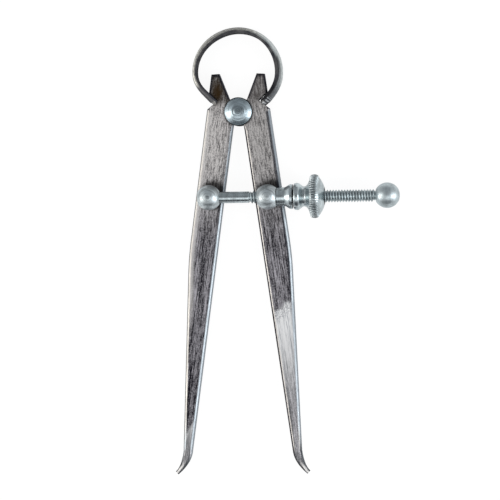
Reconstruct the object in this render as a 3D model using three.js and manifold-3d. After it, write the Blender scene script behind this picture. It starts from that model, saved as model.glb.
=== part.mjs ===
// Inside spring caliper. Two flat legs pivot on a grooved spool at the top. A bow spring grips
// their notched outer edges, holds them on the spool and pushes the toes apart. A screw, pinned
// in the left leg's swivelling stud, passes through the right leg's stud and carries a thrust
// collar and a knurled nut, which hold the legs against the spring.
//
// Millimetres. The tool lies on its back: X to the right, Y towards the bow spring, Z up. The
// origin is the middle of the spool's flat back.

import * as THREE from 'three';
import { mergeVertices } from 'three/addons/utils/BufferGeometryUtils.js';
import Module from 'manifold-3d';

const wasm = await Module();
wasm.setup();

const radians = THREE.MathUtils.degToRad;

// Cuts run this far past the faces that they open, and a joined piece this far into the other
const overrun = 0.6;
const joinOverlap = 0.15;

// Legs, measured along and across their straight inner edge
const legLength = 102.6;
const legWidth = 7.94;
const legThickness = 2.6;
const legInnerOffset = 0.9;
const legEdgeRadius = 0.9;
const legRestAngle = radians(7.9);
const taperStart = 42;
const taperBlend = 9;

// Toe, which bends outwards at the foot of the leg
const toeBendLength = 6.4;
const toeRootWidth = 2.57;
const toeTipWidth = 1.14;
const toeOutset = 4.48;
const toeAngle = radians(42);
const toeThickness = 2;
const toeEdgeRadius = 0.5;
const fullestCornerShare = 0.97;

// Horn, the short stub of the leg above the spool
const hornHeight = 9.37;
const hornTipWidth = 2.17;
const hornTipRise = 0.44;
const hornRootDrop = 0.5;
const hornEdgeRadius = 0.35;

// Notch in the outer edge of the leg, where the spring's end sits
const notchDepth = 2.74;
const notchHeight = 2.25;
const notchUpperSlope = radians(36);
const notchLowerSlope = radians(45);

// Spool that the legs' rounded notches turn on
const spoolFlangeRadius = 4;
const spoolFlangeThickness = 1.2;
const spoolCoreRadius = 2.4;
const spoolHeadRim = 0.35;
const spoolHeadDome = 1.65;
const spoolEdgeBreak = 0.25;
const bearingClearance = 0.3;
const faceClearance = 0.1;

// Bow spring, a strip with a crowned outer face, bent into an open ring
const ringCentreHeight = 11.06;
const ringRadius = 11.7;
const springWidth = 4.8;
const springThickness = 1.75;
const springEndThickness = 1.45;
const springEndTuck = 0.98;
const springTuckStart = radians(-5);
const springTuckEnd = radians(-42);
const springEndAngle = radians(-55);
const springCrownShare = 0.5;
const prongLength = 1.5;
const prongTipLength = 0.6;
const prongTipShare = 0.45;
const slotClearance = 0.25;

// Swivelling studs, each with a ball head over the leg and a washer under it
const studReach = 25.4;
const studBallRadius = 3.5;
const studBallRise = 3.2;
const studShoulderRadius = 2.4;
const studShankRadius = 1.6;
const studClearance = 0.25;
const peenRadius = 2.2;
const peenThickness = 0.35;
const washerRadius = 2.9;
const washerClearance = 0.2;

// Adjusting screw, along X through both studs
const screwMajorRadius = 1.75;
const screwMinorRadius = 1.27;
const screwPitch = 0.794;
const screwShankRadius = 1.6;
const screwTailReach = 2.6;
const screwTailGap = 0.15;
const threadStart = 11.4;
const threadEnd = 46.7;
const threadChamfer = 0.35;
const screwClearance = 0.3;
const lockPinRadius = 0.5;
const lockPinGap = 0.1;
const lockPinDepth = 0.7;

// Ball pressed on the turned-down end of the screw
const endBallRadius = 3.55;
const endBallCentre = 49.84;
const spigotRadius = 1.1;
const spigotGap = 0.1;
const spigotDome = 0.2;
const ballSeatGap = 0.05;

// Thrust collar, from its seat on the right stud's ball to its rim; places are from the stud
const collarSeatGap = 0.2;
const collarRadius = 2.6;
const collarNeckEnd = 5.3;
const collarRimRadius = 3.44;
const collarRimPlace = 6.85;
const collarEnd = 7.1;
const collarRimBreak = 0.15;

// Knurled nut; places are from the right stud
const nutStart = 7.45;
const nutNoseRadius = 3.25;
const nutBeadRadius = 3.7;
const nutBeadPlace = 8.4;
const nutWaistRadius = 2.8;
const nutWaistPlace = 10.3;
const nutWaistEnd = 11.35;
const nutShoulderRadius = 5;
const nutShoulderPlace = 12;
const nutRimRadius = 6;
const nutRimCorner = 12.25;
const nutRimStart = 13.3;
const nutRimEnd = 13.8;
const nutFaceRadius = 5.3;
const nutFacePlace = 15.6;
const nutEndRadius = 2.3;
const nutEnd = 16.2;
const knurlDepth = 0.22;
const knurlStart = 12.75;
const knurlEnd = 14.15;
const knurlTeeth = 52;

// How finely round shapes are divided
const turnSteps = 28;
const threadSteps = 10;
const ringSteps = 58;
const cornerSteps = 3;
const arcSteps = 6;
const shortArcSteps = 4;
const blendSteps = 4;
const toeSteps = 7;

// Heights and places that follow from the sizes above
const legBack = spoolFlangeThickness + faceClearance;
const legFront = legBack + legThickness;
const legMiddle = legBack + legThickness / 2;
const headSeat = legFront + faceClearance;
const screwAxisHeight = headSeat + studBallRise;
const legOuterOffset = legInnerOffset + legWidth;
const legMidline = legInnerOffset + legWidth / 2;
const studAlong = Math.sqrt(studReach ** 2 - legMidline ** 2);
const studAngle = legRestAngle + Math.atan2(legMidline, studAlong);
const studX = studReach * Math.sin(studAngle);
const studY = -studReach * Math.cos(studAngle);
const screwHoleRadius = screwMajorRadius + screwClearance;
const tailHoleRadius = screwShankRadius + screwTailGap;
const ballBoreRadius = spigotRadius + spigotGap;

// Solids: closed meshes that can be joined and cut

function signedVolume(positions, index) {
  const a = new THREE.Vector3();
  const b = new THREE.Vector3();
  const c = new THREE.Vector3();
  let sum = 0;
  for (let i = 0; i < index.length; i += 3) {
    a.fromArray(positions, index[i] * 3);
    b.fromArray(positions, index[i + 1] * 3);
    c.fromArray(positions, index[i + 2] * 3);
    sum += a.dot(b.cross(c));
  }
  return sum;
}

// Shared corners are merged, flat triangles at the poles dropped, and the faces pointed outwards
function solidOf(geometry) {
  const bare = geometry.clone();
  bare.deleteAttribute('normal');
  bare.deleteAttribute('uv');
  const merged = mergeVertices(bare);
  const positions = merged.attributes.position.array;
  let index = [];
  for (let i = 0; i < merged.index.count; i += 3) {
    const [a, b, c] = merged.index.array.subarray(i, i + 3);
    if (a !== b && b !== c && c !== a) index.push(a, b, c);
  }
  if (signedVolume(positions, index) < 0) index = index.reverse();
  return new wasm.Manifold(new wasm.Mesh({
    numProp: 3,
    vertProperties: new Float32Array(positions),
    triVerts: new Uint32Array(index),
  }));
}

function geometryOf(solid) {
  const mesh = solid.getMesh();
  const geometry = new THREE.BufferGeometry();
  geometry.setAttribute('position', new THREE.BufferAttribute(mesh.vertProperties, 3));
  geometry.setIndex(new THREE.BufferAttribute(mesh.triVerts, 1));
  geometry.computeVertexNormals();
  return geometry;
}

// A skin through rings of as many points each, closed by a fan at both ends
function loft(rings) {
  const count = rings[0].length;
  const points = rings.flat();
  const index = [];
  for (let ring = 0; ring + 1 < rings.length; ring++) {
    for (let i = 0; i < count; i++) {
      const a = ring * count + i;
      const b = ring * count + (i + 1) % count;
      index.push(a, b, b + count, a, b + count, a + count);
    }
  }
  for (const [ring, turned] of [[0, true], [rings.length - 1, false]]) {
    const middle = new THREE.Vector3();
    for (const point of rings[ring]) middle.addScaledVector(point, 1 / count);
    const hub = points.push(middle) - 1;
    for (let i = 0; i < count; i++) {
      const a = ring * count + i;
      const b = ring * count + (i + 1) % count;
      index.push(hub, turned ? b : a, turned ? a : b);
    }
  }
  const geometry = new THREE.BufferGeometry().setFromPoints(points);
  geometry.setIndex(index);
  return solidOf(geometry);
}

// Turned shapes: an outline of [radius, place] pairs, about Z or about X
function turned(outline, steps = turnSteps) {
  const profile = outline.map(([radius, place]) => new THREE.Vector2(radius, place));
  return new THREE.LatheGeometry(profile, steps);
}

function turnedAboutZ(outline, steps) {
  return solidOf(turned(outline, steps).rotateX(Math.PI / 2));
}

function turnedAboutX(outline, steps) {
  return solidOf(turned(outline, steps).rotateZ(-Math.PI / 2));
}

function arc(centre, radius, from, to, steps = arcSteps) {
  const points = [];
  for (let i = 0; i <= steps; i++) {
    const angle = from + (to - from) * i / steps;
    points.push([radius * Math.cos(angle), centre + radius * Math.sin(angle)]);
  }
  return points;
}

// A bend from one [radius, place] to another, towards a corner between them
function bend(from, corner, to, steps = arcSteps) {
  const curve = new THREE.QuadraticBezierCurve(
    new THREE.Vector2(...from), new THREE.Vector2(...corner), new THREE.Vector2(...to));
  return curve.getPoints(steps).map((point) => [point.x, point.y]);
}

function ring(innerRadius, outerRadius, from, to) {
  return [
    [innerRadius, from], [outerRadius, from], [outerRadius, to], [innerRadius, to],
    [innerRadius, from],
  ];
}

function rod(radius, from, to) {
  return [[0, from], [radius, from], [radius, to], [0, to]];
}

function prism(points, from, to) {
  const shape = new THREE.Shape(points);
  const geometry = new THREE.ExtrudeGeometry(shape, { depth: to - from, bevelEnabled: false });
  return solidOf(geometry.translate(0, 0, from));
}

// Leg: sections between an outer and an inner edge, given as (out, along) from the pivot

function legTaper(along) {
  const past = along - taperStart;
  const half = taperBlend / 2;
  if (past <= -half) return 0;
  if (past < half) return (past + half) ** 2 / (4 * half);
  return past;
}

function legStation(outer, inner, thickness, radius) {
  return { outer: new THREE.Vector2(...outer), inner: new THREE.Vector2(...inner), thickness, radius };
}

function legStations() {
  const bendStart = legLength - toeBendLength;
  const slope = (legWidth - toeRootWidth) / legTaper(bendStart);
  const stations = [];
  stations.push(legStation(
    [legOuterOffset, -hornHeight],
    [legOuterOffset - hornTipWidth, -hornHeight - hornTipRise],
    legThickness, hornEdgeRadius));
  stations.push(legStation(
    [legOuterOffset, hornRootDrop], [legInnerOffset, hornRootDrop], legThickness, legEdgeRadius));
  for (let i = 0; i <= blendSteps; i++) {
    const along = taperStart + taperBlend * (i / blendSteps - 1 / 2);
    const outer = legOuterOffset - slope * legTaper(along);
    stations.push(legStation([outer, along], [legInnerOffset, along], legThickness, legEdgeRadius));
  }
  // Each edge of the toe is one curve from the straight leg to the tip
  const across = new THREE.Vector2(Math.cos(toeAngle), -Math.sin(toeAngle));
  const heading = new THREE.Vector2(Math.sin(toeAngle), Math.cos(toeAngle));
  const tip = new THREE.Vector2(toeOutset, legLength);
  const edge = (startOut, side) => {
    const end = tip.clone().addScaledVector(across, side * toeTipWidth / 2);
    const reach = (end.x - startOut) / heading.x;
    return new THREE.QuadraticBezierCurve(
      new THREE.Vector2(startOut, bendStart), end.clone().addScaledVector(heading, -reach), end);
  };
  const outerEdge = edge(legInnerOffset + toeRootWidth, 1);
  const innerEdge = edge(legInnerOffset, -1);
  for (let i = 0; i <= toeSteps; i++) {
    const share = i / toeSteps;
    stations.push(legStation(
      outerEdge.getPoint(share).toArray(), innerEdge.getPoint(share).toArray(),
      THREE.MathUtils.lerp(legThickness, toeThickness, share),
      THREE.MathUtils.lerp(legEdgeRadius, toeEdgeRadius, share)));
  }
  return stations;
}

// A rounded rectangle that stands on its station; side is 1 for the right leg, -1 for the left
function legRing({ outer, inner, thickness, radius }, side) {
  const middle = outer.clone().add(inner).divideScalar(2);
  const across = outer.clone().sub(inner);
  const halfWidth = across.length() / 2;
  across.normalize();
  const halfThickness = thickness / 2;
  const corner = Math.min(radius, halfWidth, halfThickness) * fullestCornerShare;
  const points = [];
  for (let quarter = 0; quarter < 4; quarter++) {
    for (let i = 0; i <= cornerSteps; i++) {
      const angle = (quarter + i / cornerSteps) * Math.PI / 2;
      const ux = quarter === 0 || quarter === 3 ? 1 : -1;
      const uz = quarter < 2 ? 1 : -1;
      const u = ux * (halfWidth - corner) + corner * Math.cos(angle);
      const z = uz * (halfThickness - corner) + corner * Math.sin(angle);
      const flat = middle.clone().addScaledVector(across, u);
      points.push(new THREE.Vector3(side * flat.x, -flat.y, legMiddle + z));
    }
  }
  return points;
}

function legNotch(side) {
  const bottom = [legOuterOffset - notchDepth, notchHeight];
  const reach = notchDepth + overrun;
  const points = [
    bottom,
    [bottom[0] + reach, bottom[1] - reach * Math.tan(notchLowerSlope)],
    [bottom[0] + reach, bottom[1] + reach * Math.tan(notchUpperSlope)],
  ];
  const corners = points.map(([out, up]) => new THREE.Vector2(side * out, up));
  return prism(corners, legBack - overrun, legFront + overrun);
}

function legSolid(side) {
  const blank = loft(legStations().map((station) => legRing(station, side)));
  const bearing = rod(spoolCoreRadius + bearingClearance, legBack - overrun, legFront + overrun);
  const studHole = rod(studShankRadius + studClearance, legBack - overrun, legFront + overrun);
  return blank
    .subtract(legNotch(side))
    .subtract(turnedAboutZ(bearing))
    .subtract(turnedAboutZ(studHole).translate([side * legMidline, -studAlong, 0]));
}

// Spool: a flat back flange, the core in the legs' bearings and a domed head

function spoolSolid() {
  const domeRadius = (spoolFlangeRadius ** 2 + spoolHeadDome ** 2) / (2 * spoolHeadDome);
  const domeCentre = headSeat + spoolHeadRim + spoolHeadDome - domeRadius;
  const dome = arc(domeCentre, domeRadius, Math.acos(spoolFlangeRadius / domeRadius), Math.PI / 2);
  dome[dome.length - 1][0] = 0;
  return turnedAboutZ([
    [0, 0],
    [spoolFlangeRadius - spoolEdgeBreak, 0],
    [spoolFlangeRadius, spoolEdgeBreak],
    [spoolFlangeRadius, spoolFlangeThickness],
    [spoolCoreRadius, spoolFlangeThickness],
    [spoolCoreRadius, headSeat],
    [spoolFlangeRadius, headSeat],
    ...dome,
  ]);
}

// Bow spring: the strip's section follows a circle that tucks in towards its forked ends

function springCentre(angle) {
  const fold = Math.PI / 2 - Math.abs(angle - Math.PI / 2);
  const tuck = THREE.MathUtils.smoothstep(-fold, -springTuckStart, -springTuckEnd);
  return ringRadius - springEndTuck * tuck;
}

function springPoint(angle, outwards, z) {
  const radius = springCentre(angle) + outwards;
  return new THREE.Vector3(
    radius * Math.cos(angle), ringCentreHeight + radius * Math.sin(angle), legMiddle + z);
}

function springRing(angle, thickness) {
  const flat = thickness * (1 / 2 - springCrownShare);
  const crown = thickness * springCrownShare;
  const points = [springPoint(angle, -thickness / 2, -springWidth / 2)];
  for (let i = 0; i <= arcSteps; i++) {
    const turn = Math.PI * (i / arcSteps - 1 / 2);
    points.push(springPoint(
      angle, flat + crown * Math.cos(turn), springWidth / 2 * Math.sin(turn)));
  }
  points.push(springPoint(angle, -thickness / 2, springWidth / 2));
  return points;
}

function springSolid() {
  const endRadius = ringRadius - springEndTuck;
  const tipTurn = prongTipLength / endRadius;
  const from = springEndAngle;
  const to = Math.PI - springEndAngle;
  const rings = [];
  for (let i = 0; i <= ringSteps; i++) {
    const share = i / ringSteps;
    const angle = THREE.MathUtils.lerp(from + tipTurn, to - tipTurn, share);
    const fold = Math.max(0, Math.abs(angle - Math.PI / 2) - Math.PI / 2);
    const thinning = fold / -springEndAngle;
    rings.push(springRing(angle, THREE.MathUtils.lerp(springThickness, springEndThickness, thinning)));
  }
  // The tips narrow to blunt rounded ends
  rings.unshift(springRing(from, springEndThickness * prongTipShare));
  rings.push(springRing(to, springEndThickness * prongTipShare));
  let strip = loft(rings);
  const forkTurn = prongLength / endRadius;
  const slotHeight = legThickness + 2 * slotClearance;
  const slotLength = prongLength + overrun;
  for (const side of [1, -1]) {
    const angle = springEndAngle + forkTurn;
    const root = springPoint(angle, 0, 0);
    const slot = new THREE.BoxGeometry(springThickness + 2 * overrun, slotLength, slotHeight)
      .translate(0, -slotLength / 2, 0)
      .rotateZ(angle)
      .translate(root.x, root.y, root.z)
      .scale(side, 1, 1);
    strip = strip.subtract(solidOf(slot));
  }
  return strip;
}

// Stud: a peened foot, a shank through the leg, a shoulder and a cross-drilled ball

function studSolid(crossHoleRadius) {
  const seamAngle = -Math.acos(studShoulderRadius / studBallRadius);
  const ball = arc(screwAxisHeight, studBallRadius, seamAngle, Math.PI / 2, 2 * arcSteps);
  ball[ball.length - 1][0] = 0;
  const blank = turnedAboutZ([
    [0, 0],
    [peenRadius, 0],
    [peenRadius, peenThickness],
    [studShankRadius, peenThickness],
    [studShankRadius, headSeat],
    [studShoulderRadius, headSeat],
    ...ball,
  ]);
  const reach = studBallRadius + overrun;
  const crossHole = turnedAboutX(rod(crossHoleRadius, -reach, reach));
  return blank.subtract(crossHole.translate([0, 0, screwAxisHeight]));
}

function leftStudSolid() {
  const pinHole = rod(
    lockPinRadius + lockPinGap, screwAxisHeight, screwAxisHeight + studBallRadius + overrun);
  return studSolid(tailHoleRadius).subtract(turnedAboutZ(pinHole));
}

function washerSolid() {
  return turnedAboutZ(ring(
    studShankRadius + washerClearance, washerRadius, peenThickness, spoolFlangeThickness));
}

// Screw: its thread is one skin, with a crest that climbs half a pitch after each root

function threadBlank(from, to) {
  const turns = Math.ceil((to - from) / screwPitch) + 2;
  const steps = turns * threadSteps;
  const start = from - screwPitch;
  const points = [];
  const index = [];
  for (let step = 0; step <= steps + threadSteps; step++) {
    const angle = step / threadSteps * Math.PI * 2;
    const x = start + step / threadSteps * screwPitch;
    for (const [radius, lead] of [[screwMinorRadius, 0], [screwMajorRadius, screwPitch / 2]]) {
      points.push(new THREE.Vector3(x + lead, radius * Math.cos(angle), radius * Math.sin(angle)));
    }
  }
  const root = (step) => 2 * step;
  const crest = (step) => 2 * step + 1;
  for (let step = 0; step < steps; step++) {
    const after = step + threadSteps;
    index.push(root(step), root(step + 1), crest(step + 1), root(step), crest(step + 1), crest(step));
    index.push(crest(step), crest(step + 1), root(after + 1), crest(step), root(after + 1), root(after));
  }
  // Each end is a spiral face with one step in it
  const hubs = [start, start + turns * screwPitch + screwPitch]
    .map((x) => points.push(new THREE.Vector3(x, 0, 0)) - 1);
  for (let i = 0; i < threadSteps; i++) {
    index.push(hubs[0], root(i + 1), root(i));
    index.push(hubs[1], root(steps + i), root(steps + i + 1));
  }
  index.push(hubs[0], root(0), crest(0), hubs[0], crest(0), root(threadSteps));
  index.push(hubs[1], crest(steps), root(steps), hubs[1], root(steps + threadSteps), crest(steps));
  const geometry = new THREE.BufferGeometry().setFromPoints(points);
  geometry.setIndex(index);
  return solidOf(geometry);
}

// The screw's places are from the left stud
function screwSolid() {
  const ballFar = endBallCentre + Math.sqrt(endBallRadius ** 2 - ballBoreRadius ** 2);
  const envelope = turnedAboutX([
    [0, threadStart],
    [screwMajorRadius - threadChamfer, threadStart],
    [screwMajorRadius + overrun, threadStart + threadChamfer + overrun],
    [screwMajorRadius + overrun, threadEnd - threadChamfer - overrun],
    [screwMajorRadius - threadChamfer, threadEnd],
    [0, threadEnd],
  ]);
  const shank = turnedAboutX(rod(screwShankRadius, -screwTailReach, threadStart + joinOverlap));
  const spigot = turnedAboutX([
    [0, threadEnd - joinOverlap],
    [spigotRadius, threadEnd - joinOverlap],
    [spigotRadius, ballFar],
    [spigotRadius / 2, ballFar + spigotDome],
    [0, ballFar + spigotDome],
  ]);
  const pinHole = turnedAboutZ(
    rod(lockPinRadius + lockPinGap, -lockPinDepth - lockPinGap, screwShankRadius + overrun));
  return threadBlank(threadStart, threadEnd)
    .intersect(envelope)
    .add(shank)
    .add(spigot)
    .subtract(pinHole);
}

function lockPinSolid() {
  const top = Math.sqrt(studBallRadius ** 2 - lockPinRadius ** 2);
  return turnedAboutZ(rod(lockPinRadius, -lockPinDepth, top), 2 * arcSteps);
}

function endBallSolid() {
  const seat = threadEnd + ballSeatGap - endBallCentre;
  const from = Math.asin(seat / endBallRadius);
  const to = Math.acos(ballBoreRadius / endBallRadius);
  const outside = arc(0, endBallRadius, from, to, 2 * arcSteps);
  return turnedAboutX([[ballBoreRadius, seat], ...outside, [ballBoreRadius, seat]]);
}

// Thrust collar: a cupped seat on the stud's ball, a neck and a flared rim
function collarSolid() {
  const seatRadius = studBallRadius + collarSeatGap;
  const seat = arc(
    0, seatRadius, Math.acos(screwHoleRadius / seatRadius), Math.acos(collarRadius / seatRadius));
  return turnedAboutX([
    ...seat,
    ...bend([collarRadius, collarNeckEnd], [collarRimRadius, collarRimPlace - collarRimBreak],
      [collarRimRadius, collarRimPlace]),
    [collarRimRadius - collarRimBreak, collarEnd],
    [screwHoleRadius, collarEnd],
    seat[0],
  ]);
}

// Nut: a beaded nose, a waist and a knurled flange with a crowned face
function nutSolid() {
  const waist = [];
  for (let i = 0; i <= arcSteps; i++) {
    const share = i / arcSteps;
    const fall = (1 - Math.cos(Math.PI * share)) / 2;
    waist.push([
      THREE.MathUtils.lerp(nutBeadRadius, nutWaistRadius, fall),
      THREE.MathUtils.lerp(nutBeadPlace, nutWaistPlace, share),
    ]);
  }
  const body = turnedAboutX([
    [screwHoleRadius, nutStart],
    ...bend([nutNoseRadius, nutStart], [nutBeadRadius, nutStart], [nutBeadRadius, nutBeadPlace],
      shortArcSteps),
    ...waist.slice(1),
    ...bend([nutWaistRadius, nutWaistPlace], [nutWaistRadius, nutWaistEnd],
      [nutShoulderRadius, nutShoulderPlace], shortArcSteps).slice(1),
    ...bend([nutShoulderRadius, nutShoulderPlace], [nutRimRadius, nutRimCorner],
      [nutRimRadius, nutRimStart], shortArcSteps).slice(1),
    ...bend([nutRimRadius, nutRimEnd], [nutFaceRadius, nutFacePlace], [nutEndRadius, nutEnd]),
    [screwHoleRadius, nutEnd],
    [screwHoleRadius, nutStart],
  ]);
  return body.add(knurlSolid());
}

// Knurl: a band of straight teeth that stands just proud of the rim
function knurlSolid() {
  const teeth = [];
  for (let i = 0; i < 2 * knurlTeeth; i++) {
    const angle = Math.PI * i / knurlTeeth;
    const radius = nutRimRadius + (i % 2 ? -knurlDepth / 2 : knurlDepth / 2);
    teeth.push(new THREE.Vector2(radius * Math.cos(angle), radius * Math.sin(angle)));
  }
  const shape = new THREE.Shape(teeth);
  const bore = new THREE.Path();
  bore.absarc(0, 0, nutWaistRadius, 0, Math.PI * 2);
  shape.holes.push(bore);
  const band = new THREE.ExtrudeGeometry(
    shape, { depth: knurlEnd - knurlStart, bevelEnabled: false, curveSegments: arcSteps });
  return solidOf(band.translate(0, 0, knurlStart).rotateY(Math.PI / 2));
}

// Finishes
const brushedSteel = { color: 0x8a8078, roughness: 0.42, metalness: 0.9 };
const springSteel = { color: 0x9a9a94, roughness: 0.35, metalness: 0.9 };
const platedSteel = { color: 0xa9b4b8, roughness: 0.28, metalness: 0.95 };
const washerSteel = { color: 0x8d9294, roughness: 0.45, metalness: 0.9 };
const pinSteel = { color: 0x7d8488, roughness: 0.4, metalness: 0.9 };

function piece(name, solid, finish) {
  const mesh = new THREE.Mesh(geometryOf(solid), new THREE.MeshStandardMaterial(finish));
  mesh.name = name;
  return mesh;
}

const caliper = new THREE.Group();

for (const [name, side] of [['left_leg', -1], ['right_leg', 1]]) {
  const leg = piece(name, legSolid(side), brushedSteel);
  leg.rotation.z = side * legRestAngle;
  caliper.add(leg);
}

caliper.add(piece('fulcrum_spool', spoolSolid(), platedSteel));
caliper.add(piece('bow_spring', springSolid(), springSteel));

// Everything on the left stud, which carries the screw
const leftStud = new THREE.Group();
leftStud.position.set(-studX, studY, 0);
leftStud.add(piece('left_stud', leftStudSolid(), platedSteel));
leftStud.add(piece('left_stud_washer', washerSolid(), washerSteel));
caliper.add(leftStud);

const screw = new THREE.Group();
screw.position.set(-studX, studY, screwAxisHeight);
screw.add(piece('adjusting_screw', screwSolid(), platedSteel));
screw.add(piece('screw_lock_pin', lockPinSolid(), pinSteel));
const endBall = piece('end_ball', endBallSolid(), platedSteel);
endBall.position.x = endBallCentre;
screw.add(endBall);
caliper.add(screw);

// The right stud, with the collar and the nut that press on it
const rightStud = new THREE.Group();
rightStud.position.set(studX, studY, 0);
rightStud.add(piece('right_stud', studSolid(screwHoleRadius), platedSteel));
rightStud.add(piece('right_stud_washer', washerSolid(), washerSteel));
caliper.add(rightStud);

const thrust = new THREE.Group();
thrust.position.set(studX, studY, screwAxisHeight);
thrust.add(piece('thrust_collar', collarSolid(), platedSteel));
thrust.add(piece('knurled_nut', nutSolid(), platedSteel));
caliper.add(thrust);

export default caliper;
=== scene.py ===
# %% [markdown]
# # An inside spring caliper
# Two flat steel legs turn on a domed spool. A bow spring holds them on it and pushes the toes
# apart, and a screw with a knurled nut sets how far. The moving model was made first, as plain
# solids. This script loads it as a fixed frame, in metres, and dresses it: every solid gets a
# finer piece in the same place, with its own finish.

# %% Load the frame
import math

import bmesh
import bpy
from mathutils import Matrix, Vector
from mathutils.geometry import tessellate_polygon


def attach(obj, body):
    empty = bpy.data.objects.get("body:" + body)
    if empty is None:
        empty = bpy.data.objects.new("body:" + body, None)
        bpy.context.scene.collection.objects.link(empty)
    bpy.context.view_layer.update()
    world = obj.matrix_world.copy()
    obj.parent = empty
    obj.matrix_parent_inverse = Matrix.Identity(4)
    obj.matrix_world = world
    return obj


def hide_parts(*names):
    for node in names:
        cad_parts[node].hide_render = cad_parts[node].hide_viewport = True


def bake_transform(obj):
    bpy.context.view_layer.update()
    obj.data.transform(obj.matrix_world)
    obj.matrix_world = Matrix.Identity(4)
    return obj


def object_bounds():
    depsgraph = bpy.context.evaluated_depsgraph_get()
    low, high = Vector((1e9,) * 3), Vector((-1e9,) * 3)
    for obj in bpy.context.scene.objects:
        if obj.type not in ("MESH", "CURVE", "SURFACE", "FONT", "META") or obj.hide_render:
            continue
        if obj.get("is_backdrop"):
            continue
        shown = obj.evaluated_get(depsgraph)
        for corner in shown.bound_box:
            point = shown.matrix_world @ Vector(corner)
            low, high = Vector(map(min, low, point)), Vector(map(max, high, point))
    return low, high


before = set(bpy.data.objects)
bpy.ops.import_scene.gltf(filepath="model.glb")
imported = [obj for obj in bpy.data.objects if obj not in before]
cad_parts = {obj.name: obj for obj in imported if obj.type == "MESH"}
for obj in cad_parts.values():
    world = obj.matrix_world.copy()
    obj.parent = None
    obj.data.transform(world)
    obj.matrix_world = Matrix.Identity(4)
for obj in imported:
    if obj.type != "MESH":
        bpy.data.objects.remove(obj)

cad_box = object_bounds()

# %% [markdown]
# ## Sizes
# The drawing of the tool is in millimetres, so the sizes below are too. One factor turns them
# into metres when a mesh is made. Angles are in radians.

# %% Sizes that several pieces share
MM = 0.001
LEG_BACK, LEG_THICKNESS = 1.3, 2.6
LEG_MIDDLE = LEG_BACK + LEG_THICKNESS / 2
HEAD_SEAT = 4.0
AXIS_HEIGHT = 7.2
LEG_INNER, LEG_WIDTH = 0.9, 7.94
LEG_OUTER = LEG_INNER + LEG_WIDTH
LEG_LEAN = math.radians(7.9)
STUD_REACH = 25.4
STUD_OUT = LEG_INNER + LEG_WIDTH / 2
STUD_ALONG = math.sqrt(STUD_REACH ** 2 - STUD_OUT ** 2)
STUD_TURN = LEG_LEAN + math.atan2(STUD_OUT, STUD_ALONG)
STUD_X, STUD_Y = STUD_REACH * math.sin(STUD_TURN), -STUD_REACH * math.cos(STUD_TURN)
LEFT_STUD, RIGHT_STUD = Vector((-STUD_X, STUD_Y, 0)), Vector((STUD_X, STUD_Y, 0))
LEFT_AXIS, RIGHT_AXIS = (stud + Vector((0, 0, AXIS_HEIGHT)) for stud in (LEFT_STUD, RIGHT_STUD))
print(f"studs at x = +-{STUD_X:.3f} mm, y = {STUD_Y:.3f} mm")

# %% [markdown]
# ## Camera
# The photograph looks almost straight down on the tool with a long lens. The tool leans a little
# under one degree in the picture, and the camera stands a few degrees to the right of it, which
# the ball heads show: they stand off to the left of where they are fixed.

# %% Place the camera
FRAME_WIDTH = 140.0
CAMERA_DISTANCE = 850.0
VIEW_CENTRE = Vector((2.7, -38.75, LEG_MIDDLE))
CAMERA_TILT, CAMERA_ROLL = math.radians(6), math.radians(0.7)


def put_in_scene(name, data):
    """A new object for a camera, a lamp or a mesh."""
    thing = bpy.data.objects.new(name, data)
    bpy.context.scene.collection.objects.link(thing)
    return thing


camera_data = bpy.data.cameras.new("camera")
camera_data.sensor_width = 36.0
camera_data.lens = camera_data.sensor_width * CAMERA_DISTANCE / FRAME_WIDTH
camera_data.clip_start, camera_data.clip_end = 0.01, 20.0
camera = put_in_scene("camera", camera_data)
bpy.context.scene.camera = camera

towards = Vector((math.sin(CAMERA_TILT), 0, math.cos(CAMERA_TILT)))
picture_up = Vector((math.sin(CAMERA_ROLL), math.cos(CAMERA_ROLL), 0))
picture_right = picture_up.cross(towards).normalized()
picture_up = towards.cross(picture_right)
stand = Matrix.Translation((VIEW_CENTRE + towards * CAMERA_DISTANCE) * MM)
turn = Matrix((picture_right, picture_up, towards)).transposed()
camera.matrix_world = stand @ turn.to_4x4()
print(f"lens {camera_data.lens:.0f} mm")

# %% [markdown]
# ## Writing materials as sums
# A material is a sheet of nodes. Wiring each Math node by hand hides what is being worked out,
# so a small class wraps an output socket: adding or multiplying two of them adds the Math node.
# Every other node comes from one method, which sets the node's own settings first and then gives
# its sockets their values or links.

# %% Values that add their own nodes
class Value:
    """One output socket of a sheet."""

    def __init__(self, sheet, socket):
        self.sheet, self.socket = sheet, socket

    def math(self, operation, first, second=0.0):
        settings = {"operation": operation}
        return self.sheet.add("ShaderNodeMath", settings, {0: first, 1: second})["Value"]

    def __add__(self, other):
        return self.math("ADD", self, other)

    def __radd__(self, other):
        return self.math("ADD", other, self)

    def __sub__(self, other):
        return self.math("SUBTRACT", self, other)

    def __rsub__(self, other):
        return self.math("SUBTRACT", other, self)

    def __mul__(self, other):
        return self.math("MULTIPLY", self, other)

    def __rmul__(self, other):
        return self.math("MULTIPLY", other, self)

    def __truediv__(self, other):
        return self.math("DIVIDE", self, other)

    def __rtruediv__(self, other):
        return self.math("DIVIDE", other, self)

    def absolute(self):
        return self.math("ABSOLUTE", self)

    def largest(self, other):
        return self.math("MAXIMUM", self, other)

    def smallest(self, other):
        return self.math("MINIMUM", self, other)

    def fade(self, start, end, low=0.0, high=1.0):
        """Smoothly from low to high as the value goes from start to end."""
        settings = {"interpolation_type": "SMOOTHSTEP"}
        sockets = {"Value": self, "From Min": start, "From Max": end, "To Min": low, "To Max": high}
        return self.sheet.add("ShaderNodeMapRange", settings, sockets)["Result"]


class Outputs:
    """The outputs of a node, by name."""

    def __init__(self, sheet, node):
        self.sheet, self.node = sheet, node

    def __getitem__(self, name):
        return Value(self.sheet, self.node.outputs[name])


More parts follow.
